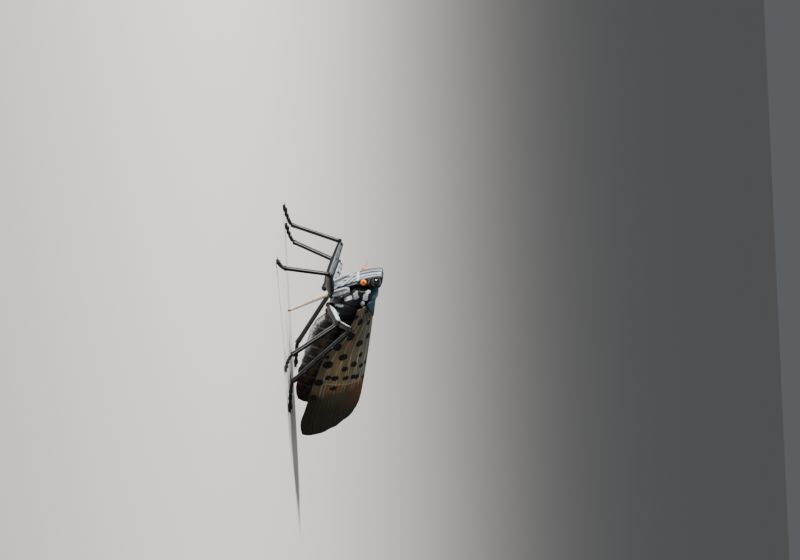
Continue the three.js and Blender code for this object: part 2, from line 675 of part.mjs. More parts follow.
// The origin is the middle of the ground that the insect covers
const cover = new THREE.Box3().setFromObject(lanternfly, true);
const middle = cover.getCenter(vector());
lanternfly.position.set(-middle.x, -middle.y, 0);
lanternfly.updateMatrixWorld(true);

export default lanternfly;
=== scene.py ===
# An adult spotted lanternfly standing with folded wings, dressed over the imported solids.
# Shapes are worked out in millimetres, in the insect's own frame, and placed in metres.
import math

import bmesh
import bpy
import numpy as np
from mathutils import Matrix, Vector


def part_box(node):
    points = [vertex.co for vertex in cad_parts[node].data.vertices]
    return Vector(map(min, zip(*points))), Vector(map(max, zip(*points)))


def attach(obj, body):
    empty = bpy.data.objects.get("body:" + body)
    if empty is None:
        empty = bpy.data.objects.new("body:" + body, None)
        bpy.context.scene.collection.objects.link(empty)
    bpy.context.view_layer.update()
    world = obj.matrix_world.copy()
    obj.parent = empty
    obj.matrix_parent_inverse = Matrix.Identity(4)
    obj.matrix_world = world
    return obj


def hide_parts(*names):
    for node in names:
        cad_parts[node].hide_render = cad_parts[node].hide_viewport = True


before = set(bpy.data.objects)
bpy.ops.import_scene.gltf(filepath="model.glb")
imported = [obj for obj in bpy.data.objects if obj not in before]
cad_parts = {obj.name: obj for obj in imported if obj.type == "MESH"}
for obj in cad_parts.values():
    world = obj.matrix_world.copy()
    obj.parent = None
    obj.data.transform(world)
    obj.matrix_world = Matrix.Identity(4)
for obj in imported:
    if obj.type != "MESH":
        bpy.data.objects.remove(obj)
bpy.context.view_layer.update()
rng = np.random.default_rng(seed=7)

# The insect's frame: x to its left, y from head to wing tips, z up from the floor.
# The body's frame is pitched in it, with its head end raised.
MM = 0.001
PITCH = math.radians(13)
BODY_HEIGHT = 8.0
EYE_AT = (1.52, -4.7, 2.57)
EYE_RADIUS = 0.62
EYE_STRETCH = (0.95, 1, 1.08)


def from_body(points):
    """Points of the body's frame in the insect's frame."""
    p = np.asarray(points, float)
    c, s = math.cos(PITCH), math.sin(PITCH)
    x, y, z = p[..., 0], p[..., 1], p[..., 2]
    return np.stack([x, y * c + z * s, BODY_HEIGHT - y * s + z * c], axis=-1)


# Where the insect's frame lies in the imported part, found from its left eye
eye_low, eye_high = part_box("eye_left")
SHIFT = np.array((eye_low + eye_high) / 2) / MM - from_body(EYE_AT)

# Small tools for numbers


def through(points):
    """A smooth function through a few named points."""
    xs = np.array([p[0] for p in points], float)
    ys = np.array([p[1] for p in points], float)
    last = len(xs) - 1
    slopes = np.array([
        (ys[min(i + 1, last)] - ys[max(i - 1, 0)]) / (xs[min(i + 1, last)] - xs[max(i - 1, 0)])
        for i in range(last + 1)
    ])

    def value(x):
        x = np.asarray(x, float)
        i = np.clip(np.searchsorted(xs, x) - 1, 0, last - 1)
        span = xs[i + 1] - xs[i]
        f = np.clip((x - xs[i]) / span, 0, 1)
        f2, f3 = f * f, f * f * f
        return ((2 * f3 - 3 * f2 + 1) * ys[i] + (f3 - 2 * f2 + f) * span * slopes[i]
                + (3 * f2 - 2 * f3) * ys[i + 1] + (f3 - f2) * span * slopes[i + 1])

    return value


def step(x, low, high):
    """0 below low, 1 above high, smooth between; low may be the larger."""
    f = np.clip((np.asarray(x, float) - low) / (high - low), 0, 1)
    return f * f * (3 - 2 * f)


def hump(x, at, width):
    """1 where x is at, fading to 0 over about width."""
    return np.exp(-((x - at) / width) ** 2)


def lerp(a, b, f):
    """From a to b as f goes from 0 to 1."""
    return a + (b - a) * f


# Large whole numbers that turn a cell's place into one of many scattered values
HASH = np.array([73856093, 19349663, 83492791])
HASH_SEED = 7919
HASH_MIX = 1274126177


def speckle(points, size, seed=0):
    """Soft random values from 0 to 1 that vary over about size millimetres."""
    q = np.asarray(points, float) / size
    low = np.floor(q).astype(np.int64)
    f = q - low
    f = f * f * (3 - 2 * f)
    total = 0
    for corner in range(8):
        offset = np.array([corner & 1, (corner >> 1) & 1, corner >> 2])
        cell = low + offset
        n = (cell * HASH).sum(axis=-1) + seed * HASH_SEED
        n = (n ^ (n >> 13)) * HASH_MIX
        value = ((n ^ (n >> 16)) & 0xFFFF) / 65535
        weight = np.where(offset, f, 1 - f).prod(axis=-1)
        total = total + value * weight
    return total


def colour(code):
    """A web colour as linear red, green and blue."""
    srgb = np.array([int(code[i:i + 2], 16) / 255 for i in (1, 3, 5)])
    return np.where(srgb <= 0.04045, srgb / 12.92, ((srgb + 0.055) / 1.055) ** 2.4)


def paint(base, other, mask):
    """other laid over base where mask is 1."""
    mask = np.asarray(mask, float)[..., None]
    return base * (1 - mask) + other * mask


def unit(v):
    """v made one long."""
    v = np.asarray(v, float)
    return v / np.maximum(np.linalg.norm(v, axis=-1, keepdims=True), 1e-9)


# Meshes


class Shell:
    """Closed skins gathered into one mesh, with a colour and a roughness at each point."""

    def __init__(self):
        self.points, self.faces, self.count = [], [], 0
        self.tints, self.roughs, self.maps, self.nets = [], [], [], []

    def add(self, points, faces, tint, rough=0.5, where=None, net=0.0):
        """Add a skin. where is each point's place on a wing, and net how close its veinlets are."""
        points = np.asarray(points, float).reshape(-1, 3)
        n = len(points)
        self.points.append(points)
        self.faces.extend([[i + self.count for i in face] for face in faces])
        self.tints.append(np.broadcast_to(tint, (n, 3)))
        self.roughs.append(np.broadcast_to(rough, (n,)))
        self.maps.append(np.zeros((n, 2)) if where is None else where)
        self.nets.append(np.broadcast_to(net, (n,)))
        self.count += n

    def build(self, node, material, kind="skin"):
        """Make the mesh in the scene, in the place of one of the part's nodes."""
        name = f"{node}_{kind}"
        mesh = bpy.data.meshes.new(name)
        points = (np.concatenate(self.points) + SHIFT) * MM
        mesh.from_pydata(points.tolist(), [], self.faces)
        made = bmesh.new()
        made.from_mesh(mesh)
        bmesh.ops.recalc_face_normals(made, faces=made.faces)
        made.to_mesh(mesh)
        made.free()
        tint = mesh.attributes.new("tint", "FLOAT_COLOR", "POINT")
        rgba = np.concatenate([np.concatenate(self.tints), np.ones((self.count, 1))], axis=1)
        tint.data.foreach_set("color", rgba.astype(np.float32).ravel())
        for label, values in (("rough", self.roughs), ("net", self.nets)):
            layer = mesh.attributes.new(label, "FLOAT", "POINT")
            layer.data.foreach_set("value", np.concatenate(values).astype(np.float32))
        uv = mesh.uv_layers.new(name="place")
        corner = np.empty(len(mesh.loops), dtype=np.int32)
        mesh.loops.foreach_get("vertex_index", corner)
        uv.data.foreach_set("uv", np.concatenate(self.maps)[corner].astype(np.float32).ravel())
        mesh.polygons.foreach_set("use_smooth", [True] * len(mesh.polygons))
        obj = bpy.data.objects.new(name, mesh)
        bpy.context.scene.collection.objects.link(obj)
        mesh.materials.append(material)
        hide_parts(node)
        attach(obj, "root")


def skin_faces(rows, sides):
    """Faces of a closed skin over rows of rings, whose two end middles come last."""
    faces = []
    for r in range(rows - 1):
        for i in range(sides):
            a, b = r * sides + i, r * sides + (i + 1) % sides
            faces.append([a, b, b + sides, a + sides])
    first, last = rows * sides, rows * sides + 1
    end = (rows - 1) * sides
    for i in range(sides):
        faces.append([(i + 1) % sides, i, first])
        faces.append([end + i, end + (i + 1) % sides, last])
    return faces


def skin(rings):
    """Points and faces of a closed skin over rings, an array of rows by sides by 3."""
    rows, sides = rings.shape[:2]
    points = np.concatenate([rings.reshape(-1, 3), rings[0].mean(0)[None], rings[-1].mean(0)[None]])
    return points, skin_faces(rows, sides)


def with_ends(values):
    """Values on rings, with those of the two end middles added."""
    flat = values.reshape((-1,) + values.shape[2:])
    return np.concatenate([flat, values[0].mean(0)[None], values[-1].mean(0)[None]])


def both_faces(top, bottom=None):
    """Values at a sheet's upper points, then at its lower ones, the same if bottom isn't given."""
    pair = (top, top if bottom is None else bottom)
    return np.concatenate([values.reshape((-1,) + values.shape[2:]) for values in pair])


def leaf(top, bottom):
    """Points and faces of a thin closed sheet from its two faces, rows by columns by 3."""
    rows, columns = top.shape[:2]
    n = rows * columns
    index = np.arange(n).reshape(rows, columns)
    faces = []
    for i in range(rows - 1):
        for j in range(columns - 1):
            a, b, c, d = index[i, j], index[i, j + 1], index[i + 1, j + 1], index[i + 1, j]
            faces.append([a, b, c, d])
            faces.append([d + n, c + n, b + n, a + n])
    rim = [*index[0, :-1], *index[:-1, -1], *index[-1, :0:-1], *index[:0:-1, 0]]
    for k, a in enumerate(rim):
        b = rim[(k + 1) % len(rim)]
        faces.append([b, a, a + n, b + n])
    return both_faces(top, bottom), [[int(v) for v in face] for face in faces]


def ball(at, radius, stretch=(1, 1, 1), rings=24, sides=36):
    """Points and faces of a rounded bead."""
    polar = np.linspace(0.02, math.pi - 0.02, rings)[:, None]
    turn = np.linspace(0, 2 * math.pi, sides, endpoint=False)[None, :]
    shape = np.stack([np.sin(polar) * np.cos(turn), np.sin(polar) * np.sin(turn),
                      np.cos(polar) * np.ones_like(turn)], axis=-1)
    return skin(np.asarray(at) + shape * radius * np.asarray(stretch))


def frame_along(direction, up=(0, 0, 1)):
    """Unit vectors along a direction, to one side of it and above it."""
    along = unit(direction)
    wide = unit(np.cross(along, up))
    return along, wide, np.cross(wide, along)


def thorn(root, tip, radius, sides=5):
    """Points and faces of a small pointed spine or bristle."""
    root, tip = np.asarray(root, float), np.asarray(tip, float)
    wide, high = frame_along(tip - root, (0.3, 0.2, 0.9))[1:]
    angle = np.linspace(0, 2 * math.pi, sides, endpoint=False)
    round_ = np.cos(angle)[:, None] * wide + np.sin(angle)[:, None] * high
    places = [lerp(root, tip, f) + round_ * radius * share for f, share in ((0, 1), (0.5, 0.62), (1, 0.08))]
    return skin(np.array(places))


# Materials


def node(tree, kind, **values):
    """A new shader node. Each value sets a property of that name, or else a socket."""
    made = tree.nodes.new(kind)
    for key, value in values.items():
        if hasattr(made, key):
            setattr(made, key, value)
        else:
            made.inputs[key].default_value = value
    return made


def cuticle(name, grain=0.1, depth=0.006, mottle=0.25, coat=0.0, gloss=0.3, cells=False):
    """Insect cuticle: the piece's own tint and roughness, mottled, with a fine grain."""
    material = bpy.data.materials.new(name)
    material.use_nodes = True
    tree = material.node_tree
    shader = tree.nodes["Principled BSDF"]
    shader.inputs["Coat Weight"].default_value = coat
    shader.inputs["Coat Roughness"].default_value = 0.15
    shader.inputs["Specular IOR Level"].default_value = gloss
    tint = node(tree, "ShaderNodeAttribute", attribute_name="tint")
    rough = node(tree, "ShaderNodeAttribute", attribute_name="rough")
    place = node(tree, "ShaderNodeTexCoord")
    clouds = node(tree, "ShaderNodeTexNoise", Scale=1 / (4 * grain * MM), Detail=5.0)
    shade = node(tree, "ShaderNodeMapRange")
    shade.inputs["To Min"].default_value = 1 - mottle
    shade.inputs["To Max"].default_value = 1 + mottle
    scaled = node(tree, "ShaderNodeVectorMath", operation="SCALE")
    if cells:
        fine = node(tree, "ShaderNodeTexVoronoi", Scale=1 / (grain * MM))
        height = fine.outputs["Distance"]
    else:
        fine = node(tree, "ShaderNodeTexNoise", Scale=1 / (grain * MM), Detail=3.0)
        height = fine.outputs["Fac"]
    bump = node(tree, "ShaderNodeBump", Distance=depth * MM, Strength=1.0)
    link = tree.links.new
    link(place.outputs["Object"], clouds.inputs["Vector"])
    link(place.outputs["Object"], fine.inputs["Vector"])
    link(clouds.outputs["Fac"], shade.inputs["Value"])
    link(tint.outputs["Color"], scaled.inputs[0])
    link(shade.outputs["Result"], scaled.inputs["Scale"])
    link(scaled.outputs["Vector"], shader.inputs["Base Color"])
    link(rough.outputs["Fac"], shader.inputs["Roughness"])
    link(height, bump.inputs["Height"])
    link(bump.outputs["Normal"], shader.inputs["Normal"])
    return material


CLOSE_NET = (0.62, 0.2)  # length and width of the net's cells, in millimetres
OPEN_NET = (1.7, 0.32)


def membrane(name, vein_tint):
    """Wing membrane: the tint under a net of raised veinlets, close set where net is 1."""
    material = cuticle(name, grain=0.06, depth=0.004, mottle=0.18, gloss=0.15)
    tree = material.node_tree
    shader = tree.nodes["Principled BSDF"]
    link = tree.links.new
    old_bump = shader.inputs["Normal"].links[0].from_node
    base = shader.inputs["Base Color"].links[0].from_socket
    where = node(tree, "ShaderNodeUVMap", uv_map="place")
    wobble = node(tree, "ShaderNodeTexNoise", Scale=2.2, Detail=2.0)
    centred = node(tree, "ShaderNodeVectorMath", operation="MULTIPLY_ADD")
    centred.inputs[1].default_value = (0.3, 0.22, 0)
    link(where.outputs["UV"], wobble.inputs["Vector"])
    link(wobble.outputs["Color"], centred.inputs[0])
    link(where.outputs["UV"], centred.inputs[2])
    lines = []
    for (long_, wide), line in ((CLOSE_NET, 0.032), (OPEN_NET, 0.03)):
        net = node(tree, "ShaderNodeTexBrick", Scale=1.0, offset=0.5)
        net.inputs["Color1"].default_value = (0, 0, 0, 1)
        net.inputs["Color2"].default_value = (0, 0, 0, 1)
        net.inputs["Mortar"].default_value = (1, 1, 1, 1)
        net.inputs["Mortar Size"].default_value = line
        net.inputs["Mortar Smooth"].default_value = 0.6
        net.inputs["Brick Width"].default_value = long_
        net.inputs["Row Height"].default_value = wide
        link(centred.outputs["Vector"], net.inputs["Vector"])
        lines.append(net.outputs["Color"])
    amount = node(tree, "ShaderNodeAttribute", attribute_name="net")
    strong = node(tree, "ShaderNodeMix", data_type="RGBA")
    link(amount.outputs["Fac"], strong.inputs["Factor"])
    faint = node(tree, "ShaderNodeVectorMath", operation="SCALE")
    faint.inputs["Scale"].default_value = 0.35
    link(lines[1], faint.inputs[0])
    link(faint.outputs["Vector"], strong.inputs[6])
    link(lines[0], strong.inputs[7])
    veins = node(tree, "ShaderNodeMix", data_type="RGBA")
    lighter = node(tree, "ShaderNodeVectorMath", operation="MULTIPLY_ADD")
    lighter.inputs[1].default_value = (1.7, 1.7, 1.7)
    lighter.inputs[2].default_value = vein_tint
    link(base, lighter.inputs[0])
    link(strong.outputs[2], veins.inputs["Factor"])
    link(base, veins.inputs[6])
    link(lighter.outputs["Vector"], veins.inputs[7])
    link(veins.outputs[2], shader.inputs["Base Color"])
    raised = node(tree, "ShaderNodeBump", Distance=0.02 * MM, Strength=1.0)
    link(strong.outputs[2], raised.inputs["Height"])
    link(old_bump.outputs["Normal"], raised.inputs["Normal"])
    link(raised.outputs["Normal"], shader.inputs["Normal"])
    return material


# The roof that the folded wings form

RIDGE = through([(-2.4, 3.02), (-0.5, 3.12), (3, 3.28), (9, 3.42), (14, 3.38), (17, 3.3)])
ROOF_WIDTH = 9.2
DROOP = {"left": 0.0, "right": 11.0}  # how much steeper each side hangs, in degrees


def roof(side, along, across, lift=0.0):
    """Points of the roof surface, lift millimetres above it."""
    along, across = np.broadcast_arrays(np.asarray(along, float), np.asarray(across, float))
    settled = step(along, -2, 5)
    inner = np.radians(lerp(18, 28, settled) + DROOP[side] * settled)
    outer = np.radians(lerp(60, 68, settled) + DROOP[side] * settled)
    rate = (outer - inner) / ROOF_WIDTH
    slope = inner + rate * across
    x = (np.sin(slope) - np.sin(inner)) / rate
    drop = (np.cos(inner) - np.cos(slope)) / rate
    z = RIDGE(along) - drop + lift * np.cos(slope)
    points = np.stack([x + lift * np.sin(slope), along, z], axis=-1)
    if side == "right":
        points[..., 0] *= -1
    return points


# Outline of a forewing: its two edges by the distance along the body, its ends by the share across
TEGMEN_INNER = through([(-1.9, 3.1), (-1.2, 2.2), (-0.5, 1.1), (0.1, 0.4), (0.7, 0.06), (1.6, 0.0),
                        (17, 0.0)])
TEGMEN_OUTER = through([(-1.9, 4.5), (-1, 4.7), (0.4, 5.1), (1.5, 5.95), (3, 6.95), (5, 7.85), (7, 8.45),
                        (10, 9.05), (12.5, 9.4), (13.8, 9.6), (14.8, 9.42), (15.8, 8.95), (17, 8.4)])
TEGMEN_ROOT = through([(0, -1.85), (1, -1.65)])
TEGMEN_HIND = through([(0, 11.4), (0.05, 12.3), (0.19, 13.75), (0.33, 14.25), (0.44, 14.8), (0.55, 15.05),
                       (0.67, 15.45), (0.81, 15.65), (0.92, 15.75), (1, 15.6)])
TEGMEN_LENGTH = 15
MAIN_VEINS = (0.13, 0.3, 0.48, 0.66, 0.84)  # shares across
CROSS_VEIN = 8.7
SPOT_GROWTH = 1.08
SPOT_DRIFT = 0.12  # how far the right wing's spots differ from the left one's

# WING's below is painted shade, laid over a forewing's lower face.
WING = {name: colour(code) for name, code in {
    "flank": "#4a4230", "ridge": "#4b4a43", "buff": "#6a5836", "band": "#5a381c", "rose": "#7a544c",
    "dark end": "#17130b", "brown end": "#4a2f17", "olive end": "#34341f", "vein": "#a39c8a",
    "rim": "#120d08", "spot": "#020202", "below": "#3a2a24",
}.items()}
HINDWING = {name: colour(code) for name, code in {
    "root": "#a02c22", "band": "#c9bfb2", "end": "#15100f", "spot": "#0c0909", "shaded": "#17100e",
}.items()}
HINDWING_ROOT = 0.9
HINDWING_END = 12.4
HINDWING_INNER = 1.9
HINDWING_DEPTH = 0.94
PLEATS = 7

# Black spots of a forewing: along, across, half length along, half width across
SPOTS = [
    (-0.73, 4.6, 0.3, 0.38), (0.23, 3.58, 0.42, 0.46), (0.88, 1.52, 0.36, 0.34), (-0.98, 2.6, 0.26, 0.3),
    (2.11, 4.62, 0.52, 0.66), (3.54, 2.61, 0.44, 0.58), (2.84, 1.02, 0.38, 0.34), (3.43, 6.3, 0.5, 0.6),
    (5.03, 5.1, 0.42, 0.7), (5.28, 1.96, 0.32, 0.38), (6.6, 0.72, 0.3, 0.26), (6.9, 1.58, 0.3, 0.38),
    (6.34, 3.08, 0.35, 0.5), (6.77, 4.55, 0.35, 0.46), (5.84, 7.25, 0.46, 0.72), (4.78, 7.5, 0.26, 0.3),
    (7.66, 6.92, 0.3, 0.42), (7.89, 5.91, 0.34, 0.5), (8.08, 4.14, 0.28, 0.48), (8.15, 2.85, 0.3, 0.42),
    (8.3, 2.1, 0.32, 0.46), (8.7, 0.6, 0.34, 0.42), (8.27, 8.2, 0.42, 0.62), (9.27, 5.89, 0.28, 0.5),
    (10.34, 8.6, 0.34, 0.4),
]


def wing_place(along, across, layer=0.0):
    """Places on a wing as points for speckle."""
    return np.stack([along, across, along * 0 + layer], -1)


def spot_cover(along, across, spots, seed):
    """1 inside a black spot, 0 outside, with slightly uneven edges."""
    ragged = (speckle(wing_place(along, across, seed), 0.35, seed) - 0.5) * 0.3
    cover = np.zeros_like(along)
    for a, c, long_, wide in spots:
        distance = np.hypot((along - a) / long_, (across - c) / wide)
        cover = np.maximum(cover, step(distance + ragged, 1.08, 0.92))
    return cover


def tegmen_spots(side):
    """The spots of one forewing. Those of the right one are moved a little."""
    change = np.array([(0, 0, 1, 1)] * len(SPOTS), float)
    if side == "right":
        change += rng.uniform(-1, 1, change.shape) * SPOT_DRIFT
    spots = []
    for (a, c, long_, wide), (da, dc, longer, wider) in zip(SPOTS, change):
        spots.append((a + da, c + dc, long_ * longer * SPOT_GROWTH, wide * wider * SPOT_GROWTH))
    return spots


def wing_veins(along, across, q, width):
    """1 on the forked main veins and the cross vein of a forewing, 0 between them."""
    vein = np.zeros_like(along)
    fork = 0.028 * step(along, 4.5, 8.5)
    for number, place in enumerate(MAIN_VEINS):
        bend = 0.008 * np.sin(along * 0.9 + 2 * number)
        for sign in (-1, 1):
            distance = np.abs(q - place - bend - sign * fork) * width
            vein = np.maximum(vein, step(distance, 0.1, 0.02))
    cross_at = CROSS_VEIN + 0.35 * np.sin(across * 0.5)
    return np.maximum(vein, 0.6 * step(np.abs(along - cross_at), 0.09, 0.02))


def tegmen_tint(along, across, vein, black, dark_end, wave):
    """A forewing's colours: grey-buff, a brown band, then the dark end, all with black spots."""
    grain = speckle(wing_place(along, across), 1.6, 9)[..., None]
    tint = paint(WING["flank"], WING["ridge"], step(across, 4.5, 1.0))
    tint = paint(tint, WING["buff"], 0.5 * step(np.abs(across - 5.6), 1.8, 0.3) * step(along, 2.0, 6.5))
    tint = tint * (0.85 + 0.3 * grain)
    band = step(np.abs(along - 9.55 - 0.3 * wave), 1.0, 0.2) * step(across, 8.4, 6.0)
    tint = paint(tint, WING["band"], 0.75 * band)
    tint = paint(tint, WING["rose"], 0.4 * step(np.hypot(along - 3.4, across - 4.6), 1.1, 0.2))
    tint = paint(tint, WING["dark end"], dark_end)
    brown = step(across, 5.0, 0.6) * step(along, 13.5, 10.0)
    tint = paint(tint, WING["brown end"], 0.7 * dark_end * brown)
    olive = step(along, 12.4, 10.4) * step(np.abs(across - 5.5), 3, 0.5)
    tint = paint(tint, WING["olive end"], 0.5 * dark_end * olive)
    tint = paint(tint, WING["vein"], 0.35 * vein * (1 - dark_end))
    tint = paint(tint, WING["rim"], step(across, 0.34, 0.1) * step(along, 8.6, 9.4))
    return paint(tint, WING["spot"], black)


def tegmen(side):
    """A forewing: a thin closed sheet over the roof, with raised main veins."""
    rows, columns = 300, 130
    s = np.linspace(0, 1, rows)[:, None]
    q = np.linspace(0, 1, columns)[None, :]
    along = lerp(TEGMEN_ROOT(q), TEGMEN_HIND(q), s)
    inner, outer = TEGMEN_INNER(along), TEGMEN_OUTER(along)
    across = lerp(inner, outer, q * np.ones_like(s))
    width = outer - inner
    vein = wing_veins(along, across, q, width) * step(s, 0.0, 0.06)
    edge = np.minimum(np.minimum(q, 1 - q) * width, (1 - s) * TEGMEN_LENGTH)
    half_thick = lerp(0.035, 0.075, step(edge, 0.0, 0.5))
    ripple = 0.02 * np.sin(across * 7.5) * step(along, 1, 3) * step(along, 11, 9)
    lift = (0.12 + 0.05 * vein + ripple) * step(across, 0.0, 0.5)
    top = roof(side, along, across, lift + half_thick)
    bottom = roof(side, along, across, lift - half_thick - 0.03 * vein)
    wave = (speckle(wing_place(along, across), 0.9, 2) - 0.5) * 1.1
    fine_wave = (speckle(wing_place(along / 2.5, across), 0.12, 3) - 0.5) * 1.1
    dark_end = step(along + 0.8 * wave + 0.5 * fine_wave - 0.06 * across, 8.6, 10.1)
    black = spot_cover(along, across, tegmen_spots(side), 3 if side == "left" else 5)
    tint = tegmen_tint(along, across, vein, black, dark_end, wave)
    # Painted shade: the lower face takes the upper tint pulled 35 percent toward a dark brown.
    below = paint(tint, WING["below"], 0.35 * np.ones_like(along))
    shell = Shell()
    shell.add(*leaf(from_body(top), from_body(bottom)), both_faces(tint, below), rough=0.55,
              where=both_faces(np.stack([along, across], -1)), net=both_faces(dark_end * (1 - 0.9 * black)))
    shell.build(f"tegmen_{side}", MEMBRANE)


def hindwing(side):
    """A hindwing, pleated under its forewing."""
    rows, columns = 150, 70
    s = np.linspace(0, 1, rows)[:, None]
    q = np.linspace(0, 1, columns)[None, :]
    end = HINDWING_END - 1.6 * (2 * q - 1) ** 2
    along = lerp(HINDWING_ROOT, end, s)
    across = lerp(HINDWING_INNER, TEGMEN_OUTER(along) - 1.0, q * np.ones_like(s))
    fold = 0.1 * np.sin(q * 2 * math.pi * PLEATS) * step(s, 0.0, 0.2)
    vein = step(np.abs(np.sin(q * 2 * math.pi * PLEATS)), 0.25, 0.05) * np.ones_like(along)
    lift = -HINDWING_DEPTH - fold
    top = roof(side, along, across, lift + 0.05 + 0.02 * vein)
    bottom = roof(side, along, across, lift - 0.05)
    wave = (speckle(wing_place(along, across), 0.8, 4) - 0.5) * 0.9
    spots = [(1.8 + 1.15 * k + 0.4 * (m % 2), 2.6 + 1.25 * m, 0.3, 0.34)
             for k in range(4) for m in range(4)]
    black = spot_cover(along, across, spots, 8)
    tint = paint(HINDWING["root"], HINDWING["band"], step(along + wave, 6.9, 7.3))
    tint = paint(tint, HINDWING["end"], step(along + wave, 8.4, 8.8))
    tint = paint(tint, HINDWING["spot"], black * step(along, 6.8, 6.4))
    tint = paint(tint, HINDWING["shaded"], step(q, 0.62, 0.86) * np.ones_like(along))
    shell = Shell()
    shell.add(*leaf(from_body(top), from_body(bottom)), both_faces(tint), rough=0.5,
              where=both_faces(np.stack([along, across], -1)), net=0.4)
    shell.build(f"hindwing_{side}", MEMBRANE)


# Head

# Rings of the head: height, front, half face, back, half cheek
HEAD_ROWS = [
    (3.54, -5.12, 0.74, -4.45, 0.8), (3.4, -5.46, 1.06, -4.05, 1.35), (3.05, -5.62, 1.3, -4.0, 1.6),
    (2.4, -5.42, 1.38, -4.0, 1.75), (1.8, -5.22, 1.42, -4.0, 1.85), (1.2, -4.95, 1.45, -4.0, 1.85),
    (0.72, -4.72, 1.45, -4.0, 1.75), (0.53, -4.56, 1.4, -3.95, 1.65), (0.34, -4.55, 1.36, -3.9, 1.6),
    (-0.3, -4.12, 1.22, -3.5, 1.4), (-1.2, -3.45, 0.95, -2.75, 1.02), (-1.9, -2.9, 0.68, -2.25, 0.75),
    (-2.55, -2.16, 0.46, -1.6, 0.5), (-2.95, -1.68, 0.32, -1.3, 0.34),
]
SUTURE = 0.45  # height of the groove between the upper and the lower face
FACE_SHARE = 0.42  # share of each half ring that the face takes
ANTENNA_AT = (2.05, -4.72, 1.16)
ANTENNA_ROOT = (1.5, -4.45, 1.3)
ANTENNA_OUT = (0.72, -0.42, 0.1)
BULB_RADIUS = 0.37
ARISTA_LENGTH = 1.45
# Rings of the antenna's stalk: distance from its root, radius
STALK = [(0, 0.2), (0.25, 0.19), (0.32, 0.24), (0.42, 0.2)]
OCELLUS_AT = (1.72, -5.02, 1.72)

HEAD = {name: colour(code) for name, code in {
    "cheek": "#0d0f11", "face": "#93a0ab", "line": "#050607", "striae": "#1f242b", "suture": "#c3cdd3",
    "bloom": "#6d757e", "eye rim": "#6d757c", "ocellus": "#3a1a10",
}.items()}


def head_rings(rows, sides):
    """Rings of the head from the top down, then the masks and places that its colours go by."""
    z = np.linspace(HEAD_ROWS[0][0] + 0.02, HEAD_ROWS[-1][0], rows)
    upward = HEAD_ROWS[::-1]
    front, face, back, cheek = [through([(r[0], r[k]) for r in upward])(z)[:, None] for k in (1, 2, 3, 4)]
    z = z[:, None] * np.ones((1, sides))
    # Each half ring runs from the middle of the face, over the cheek, to the middle of the back
    turn = (np.arange(sides) + 0.5) / sides * 2
    side = np.where(turn < 1, 1.0, -1.0)[None, :]
    f = np.where(turn < 1, turn, 2 - turn)[None, :]
    on_face = step(f, FACE_SHARE + 0.02, FACE_SHARE)
    c = np.clip(f / FACE_SHARE, 0, 1)
    x_face = face * np.sin(c * math.pi / 2) ** 0.9
    keel = hump(c, 0.4, 0.06) + 1.1 * hump(c, 0.97, 0.05) + 0.5 * hump(c, 0, 0.05)
    above = step(z, SUTURE - 0.05, SUTURE + 0.1)
    y_face = front + 0.1 * (1 - c ** 2) * above - 0.11 * keel * above - 0.12 * (1 - c ** 2) * (1 - above)
    g = np.clip((f - FACE_SHARE) / (1 - FACE_SHARE), 0, 1)
    x_back = cheek * (1 - ((g - 0.55) / 0.45) ** 2.2)
    x_side = np.where(g < 0.55, lerp(face, cheek, step(g, 0.0, 0.5)), x_back)
    y_side = lerp(front + 0.12, back, np.minimum(g / 0.75, 1) ** 0.8)
    x = lerp(x_side, x_face, on_face)
    y = lerp(y_side, y_face, on_face)
    stripes = 0.5 + 0.5 * np.sin((x * 5.5 + z * 9.0))
    y = y + 0.06 * hump(z, SUTURE, 0.06) * on_face + 0.025 * stripes * on_face * (1 - above)
    ring = np.stack([side * x, y, z], -1)
    eye_rim = hump(np.linalg.norm(np.stack([x, y, z], -1) - EYE_AT, axis=-1), 0.74, 0.06) * (1 - on_face)
    ring[..., 0] += side * 0.05 * eye_rim
    return ring, (x, y, z, f, c), (on_face, above, eye_rim)


def head():
    ring, (x, y, z, f, c), (on_face, above, eye_rim) = head_rings(130, 120)
    tint = paint(HEAD["cheek"] * np.ones(ring.shape), HEAD["face"], on_face)
    lines = sum(hump(c, at, width) for at, width in ((0.22, 0.1), (0.6, 0.1), (0.84, 0.06)))
    tint = paint(tint, HEAD["line"], np.clip(1.25 * lines, 0, 1) * on_face * above)
    striae = step(np.sin(x * 7 + z * 6 + 1.6 * speckle(ring, 0.3, 5)), -0.1, 0.5) * (1 - above)
    tint = paint(tint, HEAD["striae"], 0.8 * striae * on_face)
    tint = paint(tint, HEAD["suture"], hump(z, SUTURE, 0.1) * on_face)
    tint = paint(tint, HEAD["line"], step(z, 3.2, 3.42) * 0.9)
    bloom = step(np.abs(f - 0.55), 0.1, 0.04) * step(z, 0.6, 0.1) * (1 - above)
    tint = paint(tint, HEAD["bloom"], 0.7 * bloom)
    tint = paint(tint, HEAD["eye rim"], 0.6 * eye_rim * step(y, -4.3, -4.8))
    tint = tint * (0.75 + 0.5 * speckle(ring, 0.5, 3)[..., None])
    shell = Shell()
    shell.add(*skin(from_body(ring)), with_ends(tint), rough=0.42)
    for sign in (-1, 1):
        at = from_body(np.array(OCELLUS_AT) * (sign, 1, 1))
        shell.add(*ball(at, 0.11, rings=12, sides=16), HEAD["ocellus"], rough=0.15)
    shell.build("head", CUTICLE)


def eye(side, sign):
    shell = Shell()
    points, faces = ball((0, 0, 0), EYE_RADIUS, EYE_STRETCH, 48, 64)
    at = np.array(EYE_AT) * (sign, 1, 1)
    tint = colour("#08080a") * np.ones(points.shape)
    tint = paint(tint, colour("#2b1c16"), 0.25 * step(speckle(points, 0.25, 6), 0.55, 0.8))
    shell.add(from_body(points + at), faces, tint, rough=0.14)
    shell.build(f"eye_{side}", EYE_SHINE, "lens")


